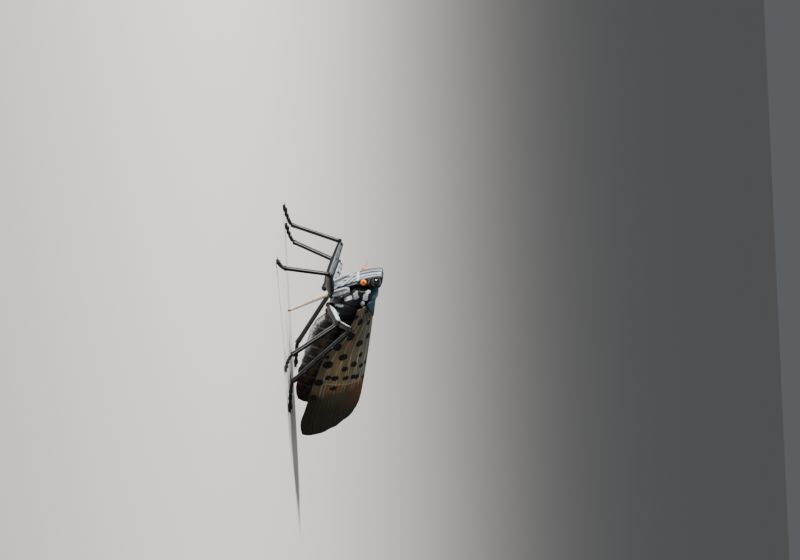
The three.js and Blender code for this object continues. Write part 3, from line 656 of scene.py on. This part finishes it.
def antenna(side, sign):
    """A dark stalk, an orange bulb and a bristle on a small knob."""
    shell = Shell()
    at = np.array(ANTENNA_AT) * (sign, 1, 1)
    root = np.array(ANTENNA_ROOT) * (sign, 1, 1)
    out = unit(np.array(ANTENNA_OUT) * (sign, 1, 1))
    along, wide, high = frame_along(at - root)
    angle = np.linspace(0, 2 * math.pi, 24, endpoint=False)[:, None]
    round_ = np.cos(angle) * wide + np.sin(angle) * high
    stalk = [root + along * distance + round_ * radius for distance, radius in STALK]
    shell.add(*skin(from_body(np.array(stalk))), colour("#2a1c14"), rough=0.4)
    points, faces = ball((0, 0, 0), BULB_RADIUS, (1, 1, 1.05), 40, 56)
    bumps = speckle(points, 0.09, 12)
    points = points * (1 + 0.07 * (bumps - 0.5))[:, None]
    tint = paint(colour("#e85f08") * np.ones(points.shape), colour("#fb9426"), step(bumps, 0.45, 0.8))
    shell.add(from_body(points + at), faces, tint, rough=0.42)
    tip = at + out * BULB_RADIUS
    shell.add(*ball(from_body(tip), 0.1, rings=10, sides=14), colour("#2a1409"), rough=0.35)
    arista = thorn(from_body(tip), from_body(tip + out * ARISTA_LENGTH), 0.035, 8)
    shell.add(*arista, colour("#120c0a"), rough=0.4)
    shell.build(f"antenna_{side}", CUTICLE)


ROSTRUM_END = (0.0, 0.0, 0.25)
ROSTRUM_JOINT = 0.37  # share of the length
ROSTRUM_WIDTH = through([(0, 0.3), (0.08, 0.27), (0.34, 0.25), (0.37, 0.2), (0.4, 0.23), (0.8, 0.2),
                         (0.96, 0.17), (1, 0.08)])


def rostrum():
    """The beak, with a joint, a slit along its front, a dark tip and painted shade along its back."""
    start = from_body((0, -1.45, -2.9))
    end = np.array(ROSTRUM_END)
    rows, sides = 90, 32
    f = np.linspace(0, 1, rows)[:, None]
    along, wide, high = frame_along(end - start, (0, -1, 0))
    angle = np.linspace(0, 2 * math.pi, sides, endpoint=False)
    slit = 1 - 0.22 * hump(angle, math.pi / 2, 0.16)
    round_ = (np.cos(angle) * slit)[:, None] * wide + (np.sin(angle) * slit)[:, None] * high
    middle = start + along * (f * np.linalg.norm(end - start))
    rings = middle[:, None] + round_[None] * ROSTRUM_WIDTH(f)[..., None]
    tint = colour("#cdbda6") * (0.85 + 0.3 * speckle(rings, 0.3, 4)[..., None])
    # Painted shade: the side turned toward the tail is darkened to deep brown.
    behind = np.clip((round_ @ unit((0, 1.0, -0.2)))[None, :] * np.ones((rows, 1)), 0, 1)
    tint = paint(tint, colour("#3d2e25"), 0.85 * step(behind, 0.25, 0.7))
    dark = step(f, 0.9, 0.98) + 0.5 * hump(f, ROSTRUM_JOINT, 0.02)
    tint = paint(tint, colour("#4a382b"), dark * np.ones(sides))
    shell = Shell()
    shell.add(*skin(rings), with_ends(tint), rough=0.4)
    shell.build("rostrum", CUTICLE)


# Trunk: prothorax collar, shield, thorax and abdomen

WAX = colour("#a9afb4")
SLATE = colour("#2b4350")
SOOT = colour("#08090b")

COLLAR_HALF = 3.05  # half width
COLLAR_RISE = 2.55  # height over its middle
COLLAR_MIDDLE = 0.5
COLLAR_WAIST = 0.09  # how much narrower its front is
# Pale patches on the collar's sides: along, height, half length, half height
COLLAR_PATCHES = [
    (-3.1, 1.72, 0.5, 0.36), (-3.65, 1.95, 0.2, 0.3), (-3.2, 0.5, 0.5, 0.34), (-2.75, -0.05, 0.22, 0.3),
    (-3.55, -0.25, 0.25, 0.22),
]


def pronotum():
    """The collar behind the head: a saddle, blue-grey above and black with pale wax at its sides."""
    rows, columns = 50, 180
    w = np.linspace(0, 1, rows)[:, None]
    c = np.linspace(-1, 1, columns)[None, :]
    angle = np.radians(100) * c
    front = -3.82 - 0.2 * np.cos(angle) ** 4
    back = -2.12 - 0.55 * np.sin(angle) ** 2
    swell = 1 + 0.03 * np.sin(math.pi * w) - COLLAR_WAIST * (1 - w)
    y = lerp(front, back, w)

    def shape(lift):
        edge = 0.12 * (np.abs(2 * w - 1) ** 8)
        r = lift - np.sign(lift) * edge
        keel = 0.07 * hump(c, 0, 0.03) + 0.04 * hump(np.abs(c), 0.25, 0.03)
        rise = r + keel * (lift > 0)
        x = (COLLAR_HALF * swell + rise) * np.sin(angle)
        z = COLLAR_MIDDLE + (COLLAR_RISE * swell + rise) * np.cos(angle)
        return np.stack([x, y * np.ones_like(x), z], -1)

    top, bottom = shape(0.24), shape(-0.2)
    rough = speckle(top, 0.22, 3)
    top = top + 0.05 * (rough - 0.5)[..., None] * unit(top - [0, 0, COLLAR_MIDDLE])
    z = top[..., 2]
    tint = SLATE * (0.75 + 0.5 * speckle(top, 0.6, 2)[..., None])
    tint = paint(tint, SOOT, step(z, 2.75, 2.4))
    # Waxy bloom lies in ragged patches on the sides
    crack = speckle(top * [1, 1.6, 1], 0.42, 6) + 0.5 * speckle(top, 0.14, 7)
    for at_y, at_z, long_, high in COLLAR_PATCHES:
        distance = np.hypot((top[..., 1] - at_y) / long_, (z - at_z) / high) + 1.1 * (crack - 0.75)
        tint = paint(tint, WAX * (0.45 + 0.5 * crack[..., None]), step(distance, 1.15, 0.85))
    tint = paint(tint, colour("#56798a"), 0.5 * step(z, 2.7, 2.95) * step(crack, 0.6, 0.95))
    tint = tint * (0.7 + 0.6 * rough[..., None])
    shell = Shell()
    # Painted shade: the lower face carries the tint darkened to 0.4 of it.
    shell.add(*leaf(from_body(top), from_body(bottom)), both_faces(tint, tint * 0.4), rough=0.5)
    shell.build("pronotum", CUTICLE)


def mesonotum():
    """The shield between the wing roots, with three keels."""
    rows, columns = 60, 90
    y = np.linspace(-2.45, 0.9, rows)[:, None]
    c = np.linspace(-1, 1, columns)[None, :]
    half = np.maximum(roof("left", y, TEGMEN_INNER(y) + 0.25)[..., 0], 0.1)
    x = half * c
    keel = 0.07 * (hump(c, 0, 0.05) + hump(np.abs(c), 0.5, 0.05))
    z = RIDGE(y) + 0.04 - 0.3 * (x / 2) ** 2 + keel - 0.3 * step(y, 0.2, 0.9)
    top = np.stack([x, y * np.ones_like(x), z], -1)
    bottom = top - [0, 0, 0.3]
    grain = speckle(top, 0.25, 7)
    tint = SLATE * (0.7 + 0.6 * grain[..., None])
    tint = paint(tint, colour("#11161a"), 0.6 * step(np.abs(np.abs(c) - 0.78), 0.2, 0.08) * np.ones_like(x))
    shell = Shell()
    # Painted shade: the lower face carries the tint darkened to half.
    shell.add(*leaf(from_body(top), from_body(bottom)), both_faces(tint, tint * 0.5), rough=0.5)
    shell.build("mesonotum", CUTICLE)


def ovals(y, z, width, up, down, sides, power=2.2):
    """Rings round the body's axis, each a rounded oval, and the angle of each point."""
    angle = (np.arange(sides) + 0.5) / sides * 2 * math.pi
    c = np.sign(np.cos(angle)) * np.abs(np.cos(angle)) ** (2 / power)
    s = np.sign(np.sin(angle)) * np.abs(np.sin(angle)) ** (2 / power)
    reach = np.where(s > 0, up[:, None], down[:, None])
    x = width[:, None] * c
    return np.stack([x, y[:, None] * np.ones_like(x), z[:, None] + reach * s], -1), angle


# Rings of the thorax: along, height of the middle, half width, reach up, reach down
THORAX_ROWS = [
    (-3.75, 1.15, 1.5, 0.8, 0.75), (-3.1, 1.0, 2.1, 1.25, 1.15), (-2.5, 0.7, 2.35, 1.7, 1.6),
    (-1.95, 0.35, 2.7, 2.0, 1.98), (-1.2, 0.1, 2.95, 2.1, 2.28), (-0.3, 0, 3.0, 2.05, 2.42),
    (0.6, -0.15, 2.7, 1.8, 2.4), (1.3, -0.35, 2.25, 1.5, 2.25), (1.9, -0.6, 1.9, 1.1, 1.9),
]
# Pale waxy plates on the thorax sides: two ends in (along, height), half width
PLATES = [
    ((-3.3, 0.1), (-2.2, -1.35), 0.17), ((-2.65, 0.45), (-2.1, -0.7), 0.13),
    ((-1.35, -0.9), (-1.0, -1.9), 0.12), ((-0.2, -1.3), (0.3, -2.0), 0.14),
]
SEAMS = [(-2.75, 0.35), (-1.55, 0.15), (0.05, -0.1), (1.05, 0.2)]  # place along, lean


def thorax():
    """The thorax, with seams cut in and pale waxy plates raised on its sides."""
    rows, sides = 120, 160
    y = np.linspace(THORAX_ROWS[0][0], THORAX_ROWS[-1][0], rows)
    z, width, up, down = [through([(r[0], r[k]) for r in THORAX_ROWS])(y) for k in (1, 2, 3, 4)]
    ring = ovals(y, z, width, up, down, sides, 2.3)[0]
    cut = np.zeros(ring.shape[:2])
    for place, lean in SEAMS:
        cut = np.maximum(cut, hump(ring[..., 1] - lean * ring[..., 2] * 0.5, place, 0.07))
    lump = speckle(ring, 0.9, 11) - 0.5
    tint = colour("#0d0a10") * (0.5 + 1.2 * speckle(ring, 0.4, 2)[..., None])
    ragged = 0.22 * (speckle(ring, 0.2, 8) - 0.5)
    pale = np.zeros(ring.shape[:2])
    for start, end, half in PLATES:
        length = np.subtract(end, start)
        apart = ring[..., 1:] - start
        f = np.clip((apart @ length) / (length @ length), 0, 1)
        distance = np.linalg.norm(apart - f[..., None] * length, axis=-1)
        pale = np.maximum(pale, step(distance + ragged, half + 0.06, half - 0.06))
    pale *= step(np.abs(ring[..., 0]), 1.2, 1.6)
    out = unit(ring * [1, 0, 1] + [0, 0, 0.1])
    ring = ring + out * (0.14 * lump - 0.12 * cut + 0.1 * pale)[..., None]
    tint = paint(tint, WAX * 0.9, pale)
    tint = paint(tint, colour("#020203"), 0.8 * cut)
    shell = Shell()
    shell.add(*skin(from_body(ring)), with_ends(tint), rough=0.45)
    shell.build("thorax", CUTICLE)


# Rings of the abdomen, in the same order of values
ABDOMEN_ROWS = [
    (1.4, -0.9, 1.9, 1.3, 2.05), (2.7, -1.25, 2.08, 1.3, 2.65), (4, -1.5, 2.0, 1.2, 2.8),
    (5.4, -1.75, 1.94, 1.2, 2.65), (6.9, -2.1, 1.86, 1.15, 2.4), (8.3, -2.5, 1.74, 1.1, 2.15),
    (9.6, -2.95, 1.55, 1.05, 1.95),
    (10.8, -3.45, 1.25, 0.85, 1.45), (11.8, -3.85, 0.8, 0.6, 0.85), (12.5, -4.0, 0.4, 0.3, 0.4),
]
SEGMENTS = 8
HAIRS = 900
WAX_THREADS = 420


def abdomen():
    """The ringed abdomen, with pleated sides, short hairs and threads of wax below."""
    per, sides = 30, 150
    rows = SEGMENTS * per
    y = np.linspace(ABDOMEN_ROWS[0][0], ABDOMEN_ROWS[-1][0], rows)
    z, width, up, down = [through([(r[0], r[k]) for r in ABDOMEN_ROWS])(y) for k in (1, 2, 3, 4)]
    ring, angle = ovals(y, z, width, up, down, sides, 2.15)
    segment = (np.arange(rows) // per)[:, None] * np.ones((1, sides))
    f = ((np.arange(rows) % per) / (per - 1))[:, None] * np.ones((1, sides))
    lap = (0.14 * f ** 1.5 - 0.05) * step(f, 1.0, 0.93)
    pleat = hump(np.sin(angle), -0.35, 0.16)[None, :] * (np.abs(np.cos(angle)) > 0.3)
    below = step(np.sin(angle), -0.4, -0.55)[None, :] * np.ones_like(f)
    wrinkle = speckle(ring * [1, 2.4, 1], 0.35, 5) - 0.5
    out = unit(ring * [1, 0, 1] - np.stack([0 * y, 0 * y, z], -1)[:, None, :])
    ring = ring + out * (lap - 0.16 * pleat + 0.05 * wrinkle)[..., None]
    tint = colour("#150d0c") * (0.5 + 0.7 * speckle(ring, 0.4, 3)[..., None])
    fuzz = speckle(ring, 0.14, 6)
    rim = step(f + 0.25 * (fuzz - 0.5), 0.72, 0.92)
    tint = paint(tint, WAX * 0.6, rim * (0.08 + 0.2 * below))
    streak = hump(ring[..., 0], 0.55, 0.42) * below * step(ring[..., 1], 7.5, 4.5)
    tint = paint(tint, WAX * 1.3, np.clip(streak * step(fuzz, 0.15, 0.5) * 1.3, 0, 1))
    tint = paint(tint, colour("#6a552c"), 0.25 * pleat * step(f, 0.75, 0.3) * step(segment, 0.5, 1.5))
    tint = paint(tint, colour("#5c2219"), 0.5 * step(segment, 5.5, 6.5) * below)
    shell = Shell()
    shell.add(*skin(from_body(ring)), with_ends(tint), rough=0.6)
    for _ in range(HAIRS):
        row = rng.integers(per, rows - per)
        side = rng.integers(0, sides)
        if np.sin(angle[side]) > -0.2:
            continue
        root = ring[row, side]
        tip = root + out[row, side] * rng.uniform(0.04, 0.1) + np.array([0, rng.uniform(0.05, 0.16), 0])
        shell.add(*thorn(from_body(root), from_body(tip), 0.012, 3), WAX * 0.5, rough=0.7)
    for _ in range(WAX_THREADS):
        row = int(rows * rng.uniform(0.04, 0.62))
        side = int(sides * (0.77 + rng.normal(0, 0.035))) % sides
        root = ring[row, side]
        lean = np.array([rng.normal(0, 0.12), rng.uniform(0.1, 0.32), rng.uniform(-0.16, -0.02)])
        shell.add(*thorn(from_body(root), from_body(root + lean), 0.018, 3), WAX * 1.25, rough=0.7)
    shell.build("abdomen", CUTICLE)


TEGULA_AT = (-2.28, 3.5)  # along and across the roof
TEGULA_RADIUS = 0.4
TEGULA_STRETCH = (1.05, 0.85, 0.65)


def tegula(side):
    """The small scale over a forewing's root."""
    at = roof(side, *TEGULA_AT)
    points, faces = ball((0, 0, 0), TEGULA_RADIUS, TEGULA_STRETCH, 24, 32)
    shell = Shell()
    tint = WAX * 0.25 * (0.5 + 1.2 * speckle(points, 0.2, 3)[:, None])
    shell.add(from_body(points + at), faces, tint, rough=0.5)
    shell.build(f"tegula_{side}", CUTICLE)


# Legs. The joints are in the insect's frame, the coxa's root in the body's. bloom is how much pale wax a
# leg shows, and it also scales the painted highlights on its lit side and ridges.

LEGS = {
    "front_left": dict(coxa=(2.2, -3.4, -0.5), hip=(1.7, -2.65, 5.95), knee=(5.93, -7.31, 6.24),
                       heel=(9, -9.7, 0.75), toe=(10.4, -11.2), bloom=0.08, tint="#20160f"),
    # The right front femur's dark ground is tinted teal as painted sky reflection.
    "front_right": dict(coxa=(-2.2, -3.4, -0.5), hip=(-1.7, -2.21, 4.99), knee=(-5.73, -6.78, 7.24),
                        heel=(-8, -8.46, 0.89), toe=(-8, -10.9), bloom=0.16, tint="#18211f"),
    "mid_left": dict(coxa=(1.5, -0.4, -1.3), hip=(2, -1.41, 5.63), knee=(7.72, -1.24, 7.07),
                     heel=(9, 2.2, 0.95), toe=(9.9, 3.6), bloom=0.95, tint="#0f0b0c"),
    "mid_right": dict(coxa=(-1.5, -0.4, -1.3), hip=(-2, -1.22, 5.62), knee=(-7.43, -3.18, 6.84),
                      heel=(-9, -5.73, 0.89), toe=(-9.1, -7.9), bloom=0.35, tint="#171716"),
    "hind_left": dict(coxa=(0.8, 1.25, -2.45), hip=(2.1, 0.7, 5.95), knee=(6.8, 0.06, 8.54),
                      heel=(8, 6.33, 0.72), toe=(8, 10.1), bloom=0.6, tint="#121011"),
    # The right hind femur's lighter tint is painted sheen.
    "hind_right": dict(coxa=(-0.8, 1.25, -2.45), hip=(-2.1, 0.7, 5.85), knee=(-7.2, -0.4, 6.1),
                       heel=(-8, 7.9, 0.6), toe=(-8, 10.9), bloom=0.6, tint="#242220"),
}
# Profiles of the limbs: share of the length, half width, half height
COXA_PROFILE = [(0, 0.4, 0.42), (0.15, 0.5, 0.56), (0.6, 0.5, 0.5), (0.9, 0.38, 0.38), (1, 0.3, 0.3)]
FEMUR_PROFILE = [
    (0, 0.36, 0.36), (0.07, 0.36, 0.38), (0.1, 0.3, 0.32), (0.22, 0.42, 0.47), (0.5, 0.45, 0.54),
    (0.82, 0.38, 0.46), (0.93, 0.4, 0.42), (0.98, 0.34, 0.34), (1, 0.2, 0.2),
]
TIBIA_PROFILE = [
    (0, 0.2, 0.2), (0.012, 0.33, 0.33), (0.035, 0.36, 0.36), (0.075, 0.3, 0.3), (0.12, 0.28, 0.3),
    (0.5, 0.29, 0.3), (0.9, 0.29, 0.3), (0.96, 0.34, 0.34), (0.985, 0.32, 0.32), (1, 0.2, 0.2),
]
TROCHANTER_RADIUS = 0.4
TIBIA_SPINES = (0.3, 0.45, 0.6, 0.76)  # shares of a hind tibia's length
SOLE = 0.26  # height of the toe's middle
FOOT_RADIUS = 0.25
FOOT_SWELL = through([(0, 0.75), (0.05, 1.0), (0.3, 0.95), (0.37, 1.08), (0.42, 0.72), (0.48, 0.98),
                      (0.62, 1.08), (0.68, 0.72), (0.76, 0.92), (0.92, 1.15), (1, 0.7)])
BRISTLE = colour("#1a1716")
SPINE = colour("#0f0d0d")
CLAW = colour("#0c0a0a")


def limb(start, end, profile, ridge, rows=70, up=(0, 0, 1)):
    """Rings of a limb with four ridges, how near each point is to a ridge, and its share along."""
    sides, ridges = 40, 4
    f = np.linspace(0, 1, rows)
    wide_by, high_by = [through([(p[0], p[k]) for p in profile])(f)[:, None] for k in (1, 2)]
    along, wide, high = frame_along(end - start, up)
    angle = np.linspace(0, 2 * math.pi, sides, endpoint=False)[None, :]
    crest = (0.5 + 0.5 * np.cos(ridges * angle)) ** 2.5 * np.ones((rows, 1))
    reach = 1 - ridge * (1 - crest)
    rings = (start + along * (f * np.linalg.norm(end - start))[:, None, None]
             + (np.cos(angle) * wide_by * reach)[..., None] * wide
             + (np.sin(angle) * high_by * reach)[..., None] * high)
    return rings, crest, f[:, None] * np.ones((1, sides))


def facing(rings, direction):
    """1 where a limb's skin faces the direction, 0 where it is turned away."""
    out = unit(rings - rings.mean(1, keepdims=True))
    return np.clip(out @ unit(direction), 0, 1)


def bristles(shell, rings, count, length, seed):
    """Short hairs that lean along the limb."""
    draw = np.random.default_rng(seed)
    rows, sides = rings.shape[:2]
    axis = unit(rings[-1].mean(0) - rings[0].mean(0))
    for _ in range(count):
        r, i = draw.integers(3, rows - 3), draw.integers(0, sides)
        root = rings[r, i]
        out = unit(root - rings[r].mean(0))
        tip = root + (out * 0.6 + axis * 0.8) * length * draw.uniform(0.6, 1.2)
        shell.add(*thorn(root - out * 0.01, tip, 0.011, 3), BRISTLE, rough=0.5)


def coxa(name, root, hip, seed):
    """A stout cone from the thorax to the hip, pale with wax on the front legs."""
    shell = Shell()
    rings, crest, f = limb(root, hip, COXA_PROFILE, 0.06, up=(1, 0, 0))
    ground = WAX * 0.8 if name.startswith("front") else colour("#2b2425")
    tint = ground * (0.6 + 0.7 * speckle(rings, 0.3, seed)[..., None])
    tint = paint(tint, colour("#0b0a0b"), step(f, 0.86, 0.95))
    tint = paint(tint, colour("#0d0d10"), 0.8 * step(crest, 0.2, 0.02))
    shell.add(*skin(rings), with_ends(tint), rough=0.5)
    shell.build(f"{name}_coxa", CUTICLE)


def femur(name, hip, knee, base, waxy, seed):
    """The femur, with wax and painted glint on the side toward the light, painted highlight lines on its
    ridges, and the trochanter as a bead at its root.
    """
    wax = colour("#c6d2d8")
    shell = Shell()
    shell.add(*ball(hip, TROCHANTER_RADIUS), base * 0.8, rough=0.35)
    rings, crest, f = limb(hip, knee - unit(knee - hip) * 0.08, FEMUR_PROFILE, 0.16)
    # lit is how much the skin faces the light; it places the painted highlights below.
    lit = facing(rings, (0.25, -0.75, 0.6))
    grain = speckle(rings, 0.35, seed)
    tint = base * (0.4 + 0.6 * grain[..., None])
    # Pale patches on the lit side: wax mixed with painted glint.
    patches = step(lit, 0.45, 0.8) * step(grain + 0.2 * speckle(rings, 0.12, seed + 8), 0.2, 0.6)
    tint = paint(tint, wax, waxy * patches * step(f, 0.18, 0.36) * step(f, 0.97, 0.9))
    # Painted highlight lines on the ridges that face the light.
    line = step(crest, 0.7, 0.98) * (0.05 + 0.75 * min(1, 2 * waxy) * step(lit, 0.3, 0.85))
    tint = paint(tint, wax, line * step(f, 0.1, 0.2) * step(f, 1.0, 0.9))
    shell.add(*skin(rings), with_ends(tint), rough=0.34)
    bristles(shell, rings, 50, 0.13, seed - 1)
    shell.build(f"{name}_femur", CUTICLE)


def tibia(name, knee, heel, waxy, seed):
    """A dark shaft with four ridges, faintly pale all round and with a painted highlight where they face
    the light, and spines on a hind leg.
    """
    shell = Shell()
    rings, crest, f = limb(knee, heel, TIBIA_PROFILE, 0.3, rows=110)
    lit = facing(rings, (0.1, -0.9, 0.4))
    grain = speckle(rings, 0.25, seed)
    # The right hind tibia's lighter ground is painted sheen.
    dark = colour("#2f2d2b") if name == "hind_right" else colour("#0b090a")
    tint = dark * (0.7 + 0.6 * grain[..., None])
    # Painted highlight: the ridges are pale faintly all round and strongly where they face the light.
    edge = step(crest, 0.55, 0.95) * (0.06 + 0.94 * step(lit, 0.25, 0.8))
    edge = edge * step(f, 0.03, 0.09) * step(f, 1.0, 0.93)
    pale = np.clip(edge * (0.7 + 0.5 * grain), 0, 1) * (0.45 + 0.5 * waxy)
    tint = paint(tint, colour("#c9cdcd"), pale)
    shell.add(*skin(rings), with_ends(tint), rough=0.36)
    bristles(shell, rings, 90, 0.15, seed + 1)
    if name.startswith("hind"):
        spines(shell, knee, heel)
    shell.build(f"{name}_tibia", CUTICLE)


def spines(shell, knee, heel):
    """A hind tibia's spines: four on its outer side, and five round its end."""
    length = np.linalg.norm(heel - knee)
    along = unit(heel - knee)
    outward = np.array((np.sign(knee[0]), 0.0, 0.0))
    for place in TIBIA_SPINES:
        root = knee + along * place * length + outward * 0.13
        shell.add(*thorn(root, root + outward * 0.72 + along * 0.34, 0.14, 12), SPINE, rough=0.3)
    for degrees in range(-80, 81, 40):
        turn = math.radians(degrees)
        side = outward * math.sin(turn) + np.array((0, 0, -math.cos(turn)))
        root = knee + along * (length - 0.45) + side * 0.16
        shell.add(*thorn(root, root + side * 0.34 + along * 0.3, 0.11, 10), SPINE, rough=0.3)


def tarsus(name, heel, toe, seed):
    """A foot of three joints, with a pad and two claws, flat where it meets the floor."""
    shell = Shell()
    rows = 80
    flat = unit((toe - heel) * [1, 1, 0])
    wide = np.array((flat[1], -flat[0], 0.0))
    f = np.linspace(0, 1, rows)
    height = SOLE + (heel[2] - SOLE) * (1 - f) ** 1.7
    middle = np.stack([lerp(heel[0], toe[0], f), lerp(heel[1], toe[1], f), height], -1)
    angle = np.linspace(0, 2 * math.pi, 28, endpoint=False)
    round_ = np.cos(angle)[:, None] * wide + np.sin(angle)[:, None] * np.array((0, 0, 1.0))
    rings = middle[:, None, :] + round_[None] * (FOOT_RADIUS * FOOT_SWELL(f))[:, None, None]
    rings[..., 2] = np.maximum(rings[..., 2], 0.0)
    tint = colour("#120f10") * (0.7 + 0.7 * speckle(rings, 0.2, seed)[..., None])
    # Painted highlight: the top of the foot is lightened toward grey.
    on_top = step(angle, 1.0, 1.5) * step(angle, 2.4, 1.7)
    tint = paint(tint, colour("#77797a"), 0.35 * on_top * np.ones((rows, 1)))
    shell.add(*skin(rings), with_ends(tint), rough=0.38)
    points, faces = ball((0, 0, 0), 0.34, (1, 1.15, 0.7), 20, 28)
    points = points @ [wide, flat, [0, 0, 1]] + [toe[0], toe[1], 0.12]
    points[:, 2] = np.maximum(points[:, 2], 0.0)
    shell.add(points, faces, colour("#1c1917"), rough=0.45)
    for sign in (-1, 1):
        root = toe + flat * 0.12 + wide * sign * 0.15
        bend = root + flat * 0.3 + wide * sign * 0.16 + [0, 0, 0.02]
        tip = root + flat * 0.46 + wide * sign * 0.24 - [0, 0, SOLE - 0.06]
        shell.add(*thorn(root, bend, 0.085, 10), CLAW, rough=0.25)
        shell.add(*thorn(bend - (bend - root) * 0.12, tip, 0.06, 10), CLAW, rough=0.25)
    bristles(shell, rings[:, 2:13], 30, 0.1, seed + 1)
    shell.build(f"{name}_tarsus", CUTICLE)


def leg(name, seed):
    data = LEGS[name]
    hip, knee, heel, toe = [np.array(place, float) for place in (
        data["hip"], data["knee"], data["heel"], (*data["toe"], SOLE))]
    coxa(name, from_body(data["coxa"]), hip, seed)
    femur(name, hip, knee, colour(data["tint"]), data["bloom"], seed + 1)
    tibia(name, knee, heel, data["bloom"], seed + 2)
    tarsus(name, heel, toe, seed + 4)


CUTICLE = cuticle("cuticle", grain=0.05, depth=0.008, mottle=0.25, gloss=0.18)
EYE_SHINE = cuticle("eye_shine", grain=0.035, depth=0.002, mottle=0.1, coat=0.3, cells=True)
MEMBRANE = membrane("membrane", (0.015, 0.012, 0.008))

head()
rostrum()
pronotum()
mesonotum()
thorax()
abdomen()
for side, sign in (("left", 1), ("right", -1)):
    eye(side, sign)
    antenna(side, sign)
    tegula(side)
    tegmen(side)
    hindwing(side)
for number, name in enumerate(LEGS):
    leg(name, 20 + 10 * number)

# Floor, light and camera

FLOOR_HALF = 12.0  # metres
FLOOR_TINT = (0.72, 0.7, 0.67)
LIGHT_AIM = (0, 2, 6)  # in the insect's frame
WORLD_TINT = (0.8, 0.84, 0.9)
WORLD_STRENGTH = 0.14
VIEW_TURN = math.radians(23)  # the camera is in front of the insect's left side by this much
VIEW_RISE = math.radians(3)
VIEW_ROLL = math.radians(2.5)
PIXELS_PER_MM = 7.9
ROW_POINT = (285.8, 311.0)  # picture place of the insect frame's origin
PICTURE = (800, 560)
DISTANCE = 1.0  # metres
SENSOR = 36.0


def plain_material(name, tint, rough):
    material = bpy.data.materials.new(name)
    material.use_nodes = True
    tree = material.node_tree
    shader = tree.nodes["Principled BSDF"]
    shader.inputs["Base Color"].default_value = (*tint, 1)
    shader.inputs["Roughness"].default_value = rough
    return material


def floor():
    corners = [(x * FLOOR_HALF, y * FLOOR_HALF, 0) for x, y in ((-1, -1), (1, -1), (1, 1), (-1, 1))]
    mesh = bpy.data.meshes.new("floor")
    mesh.from_pydata(corners, [], [(0, 1, 2, 3)])
    obj = bpy.data.objects.new("floor", mesh)
    bpy.context.scene.collection.objects.link(obj)
    mesh.materials.append(plain_material("floor_paint", FLOOR_TINT, 0.8))


def area_light(name, direction, distance, size, power, tint=(1, 1, 1)):
    """A square light, distance metres from the insect and turned to it."""
    data = bpy.data.lights.new(name, "AREA")
    data.size = size
    data.energy = power
    data.color = tint
    obj = bpy.data.objects.new(name, data)
    target = Vector((LIGHT_AIM[0] + SHIFT[0], LIGHT_AIM[1] + SHIFT[1], LIGHT_AIM[2])) * MM
    obj.location = target + Vector(direction).normalized() * distance
    obj.rotation_euler = (target - obj.location).to_track_quat("-Z", "Y").to_euler()
    bpy.context.scene.collection.objects.link(obj)


def lights():
    area_light("key", (-0.1, -0.9, 0.5), distance=0.5, size=0.08, power=8.0, tint=(1.0, 0.98, 0.95))
    area_light("fill", (0.8, -0.25, 0.6), distance=0.6, size=0.5, power=0.45, tint=(0.92, 0.96, 1.0))
    area_light("top", (0.1, 0.5, 1.0), distance=0.6, size=0.4, power=0.5)
    world = bpy.data.worlds.new("studio")
    world.use_nodes = True
    background = world.node_tree.nodes["Background"]
    background.inputs["Color"].default_value = (*WORLD_TINT, 1)
    background.inputs["Strength"].default_value = WORLD_STRENGTH
    bpy.context.scene.world = world


def camera():
    """The photo's view. The picture's right is the insect's up, and its top the insect's front."""
    back = np.array((math.cos(VIEW_TURN) * math.cos(VIEW_RISE), -math.sin(VIEW_TURN) * math.cos(VIEW_RISE),
                     math.sin(VIEW_RISE)))
    level = np.array((math.sin(VIEW_TURN), math.cos(VIEW_TURN), 0.0))
    rise = np.cross(back, level)
    right = math.cos(VIEW_ROLL) * rise + math.sin(VIEW_ROLL) * level
    up = math.sin(VIEW_ROLL) * rise - math.cos(VIEW_ROLL) * level
    from_middle = np.array(PICTURE) / 2 - ROW_POINT
    aim = (right * from_middle[0] - up * from_middle[1]) / PIXELS_PER_MM
    place = (aim + SHIFT) * MM + back * DISTANCE
    data = bpy.data.cameras.new("camera")
    data.sensor_width = SENSOR
    data.lens = SENSOR * DISTANCE / (PICTURE[0] / PIXELS_PER_MM * MM)
    data.clip_start = 0.01
    obj = bpy.data.objects.new("camera", data)
    obj.matrix_world = Matrix((
        (right[0], up[0], back[0], place[0]), (right[1], up[1], back[1], place[1]),
        (right[2], up[2], back[2], place[2]), (0, 0, 0, 1)))
    bpy.context.scene.collection.objects.link(obj)
    bpy.context.scene.camera = obj


floor()
lights()
camera()
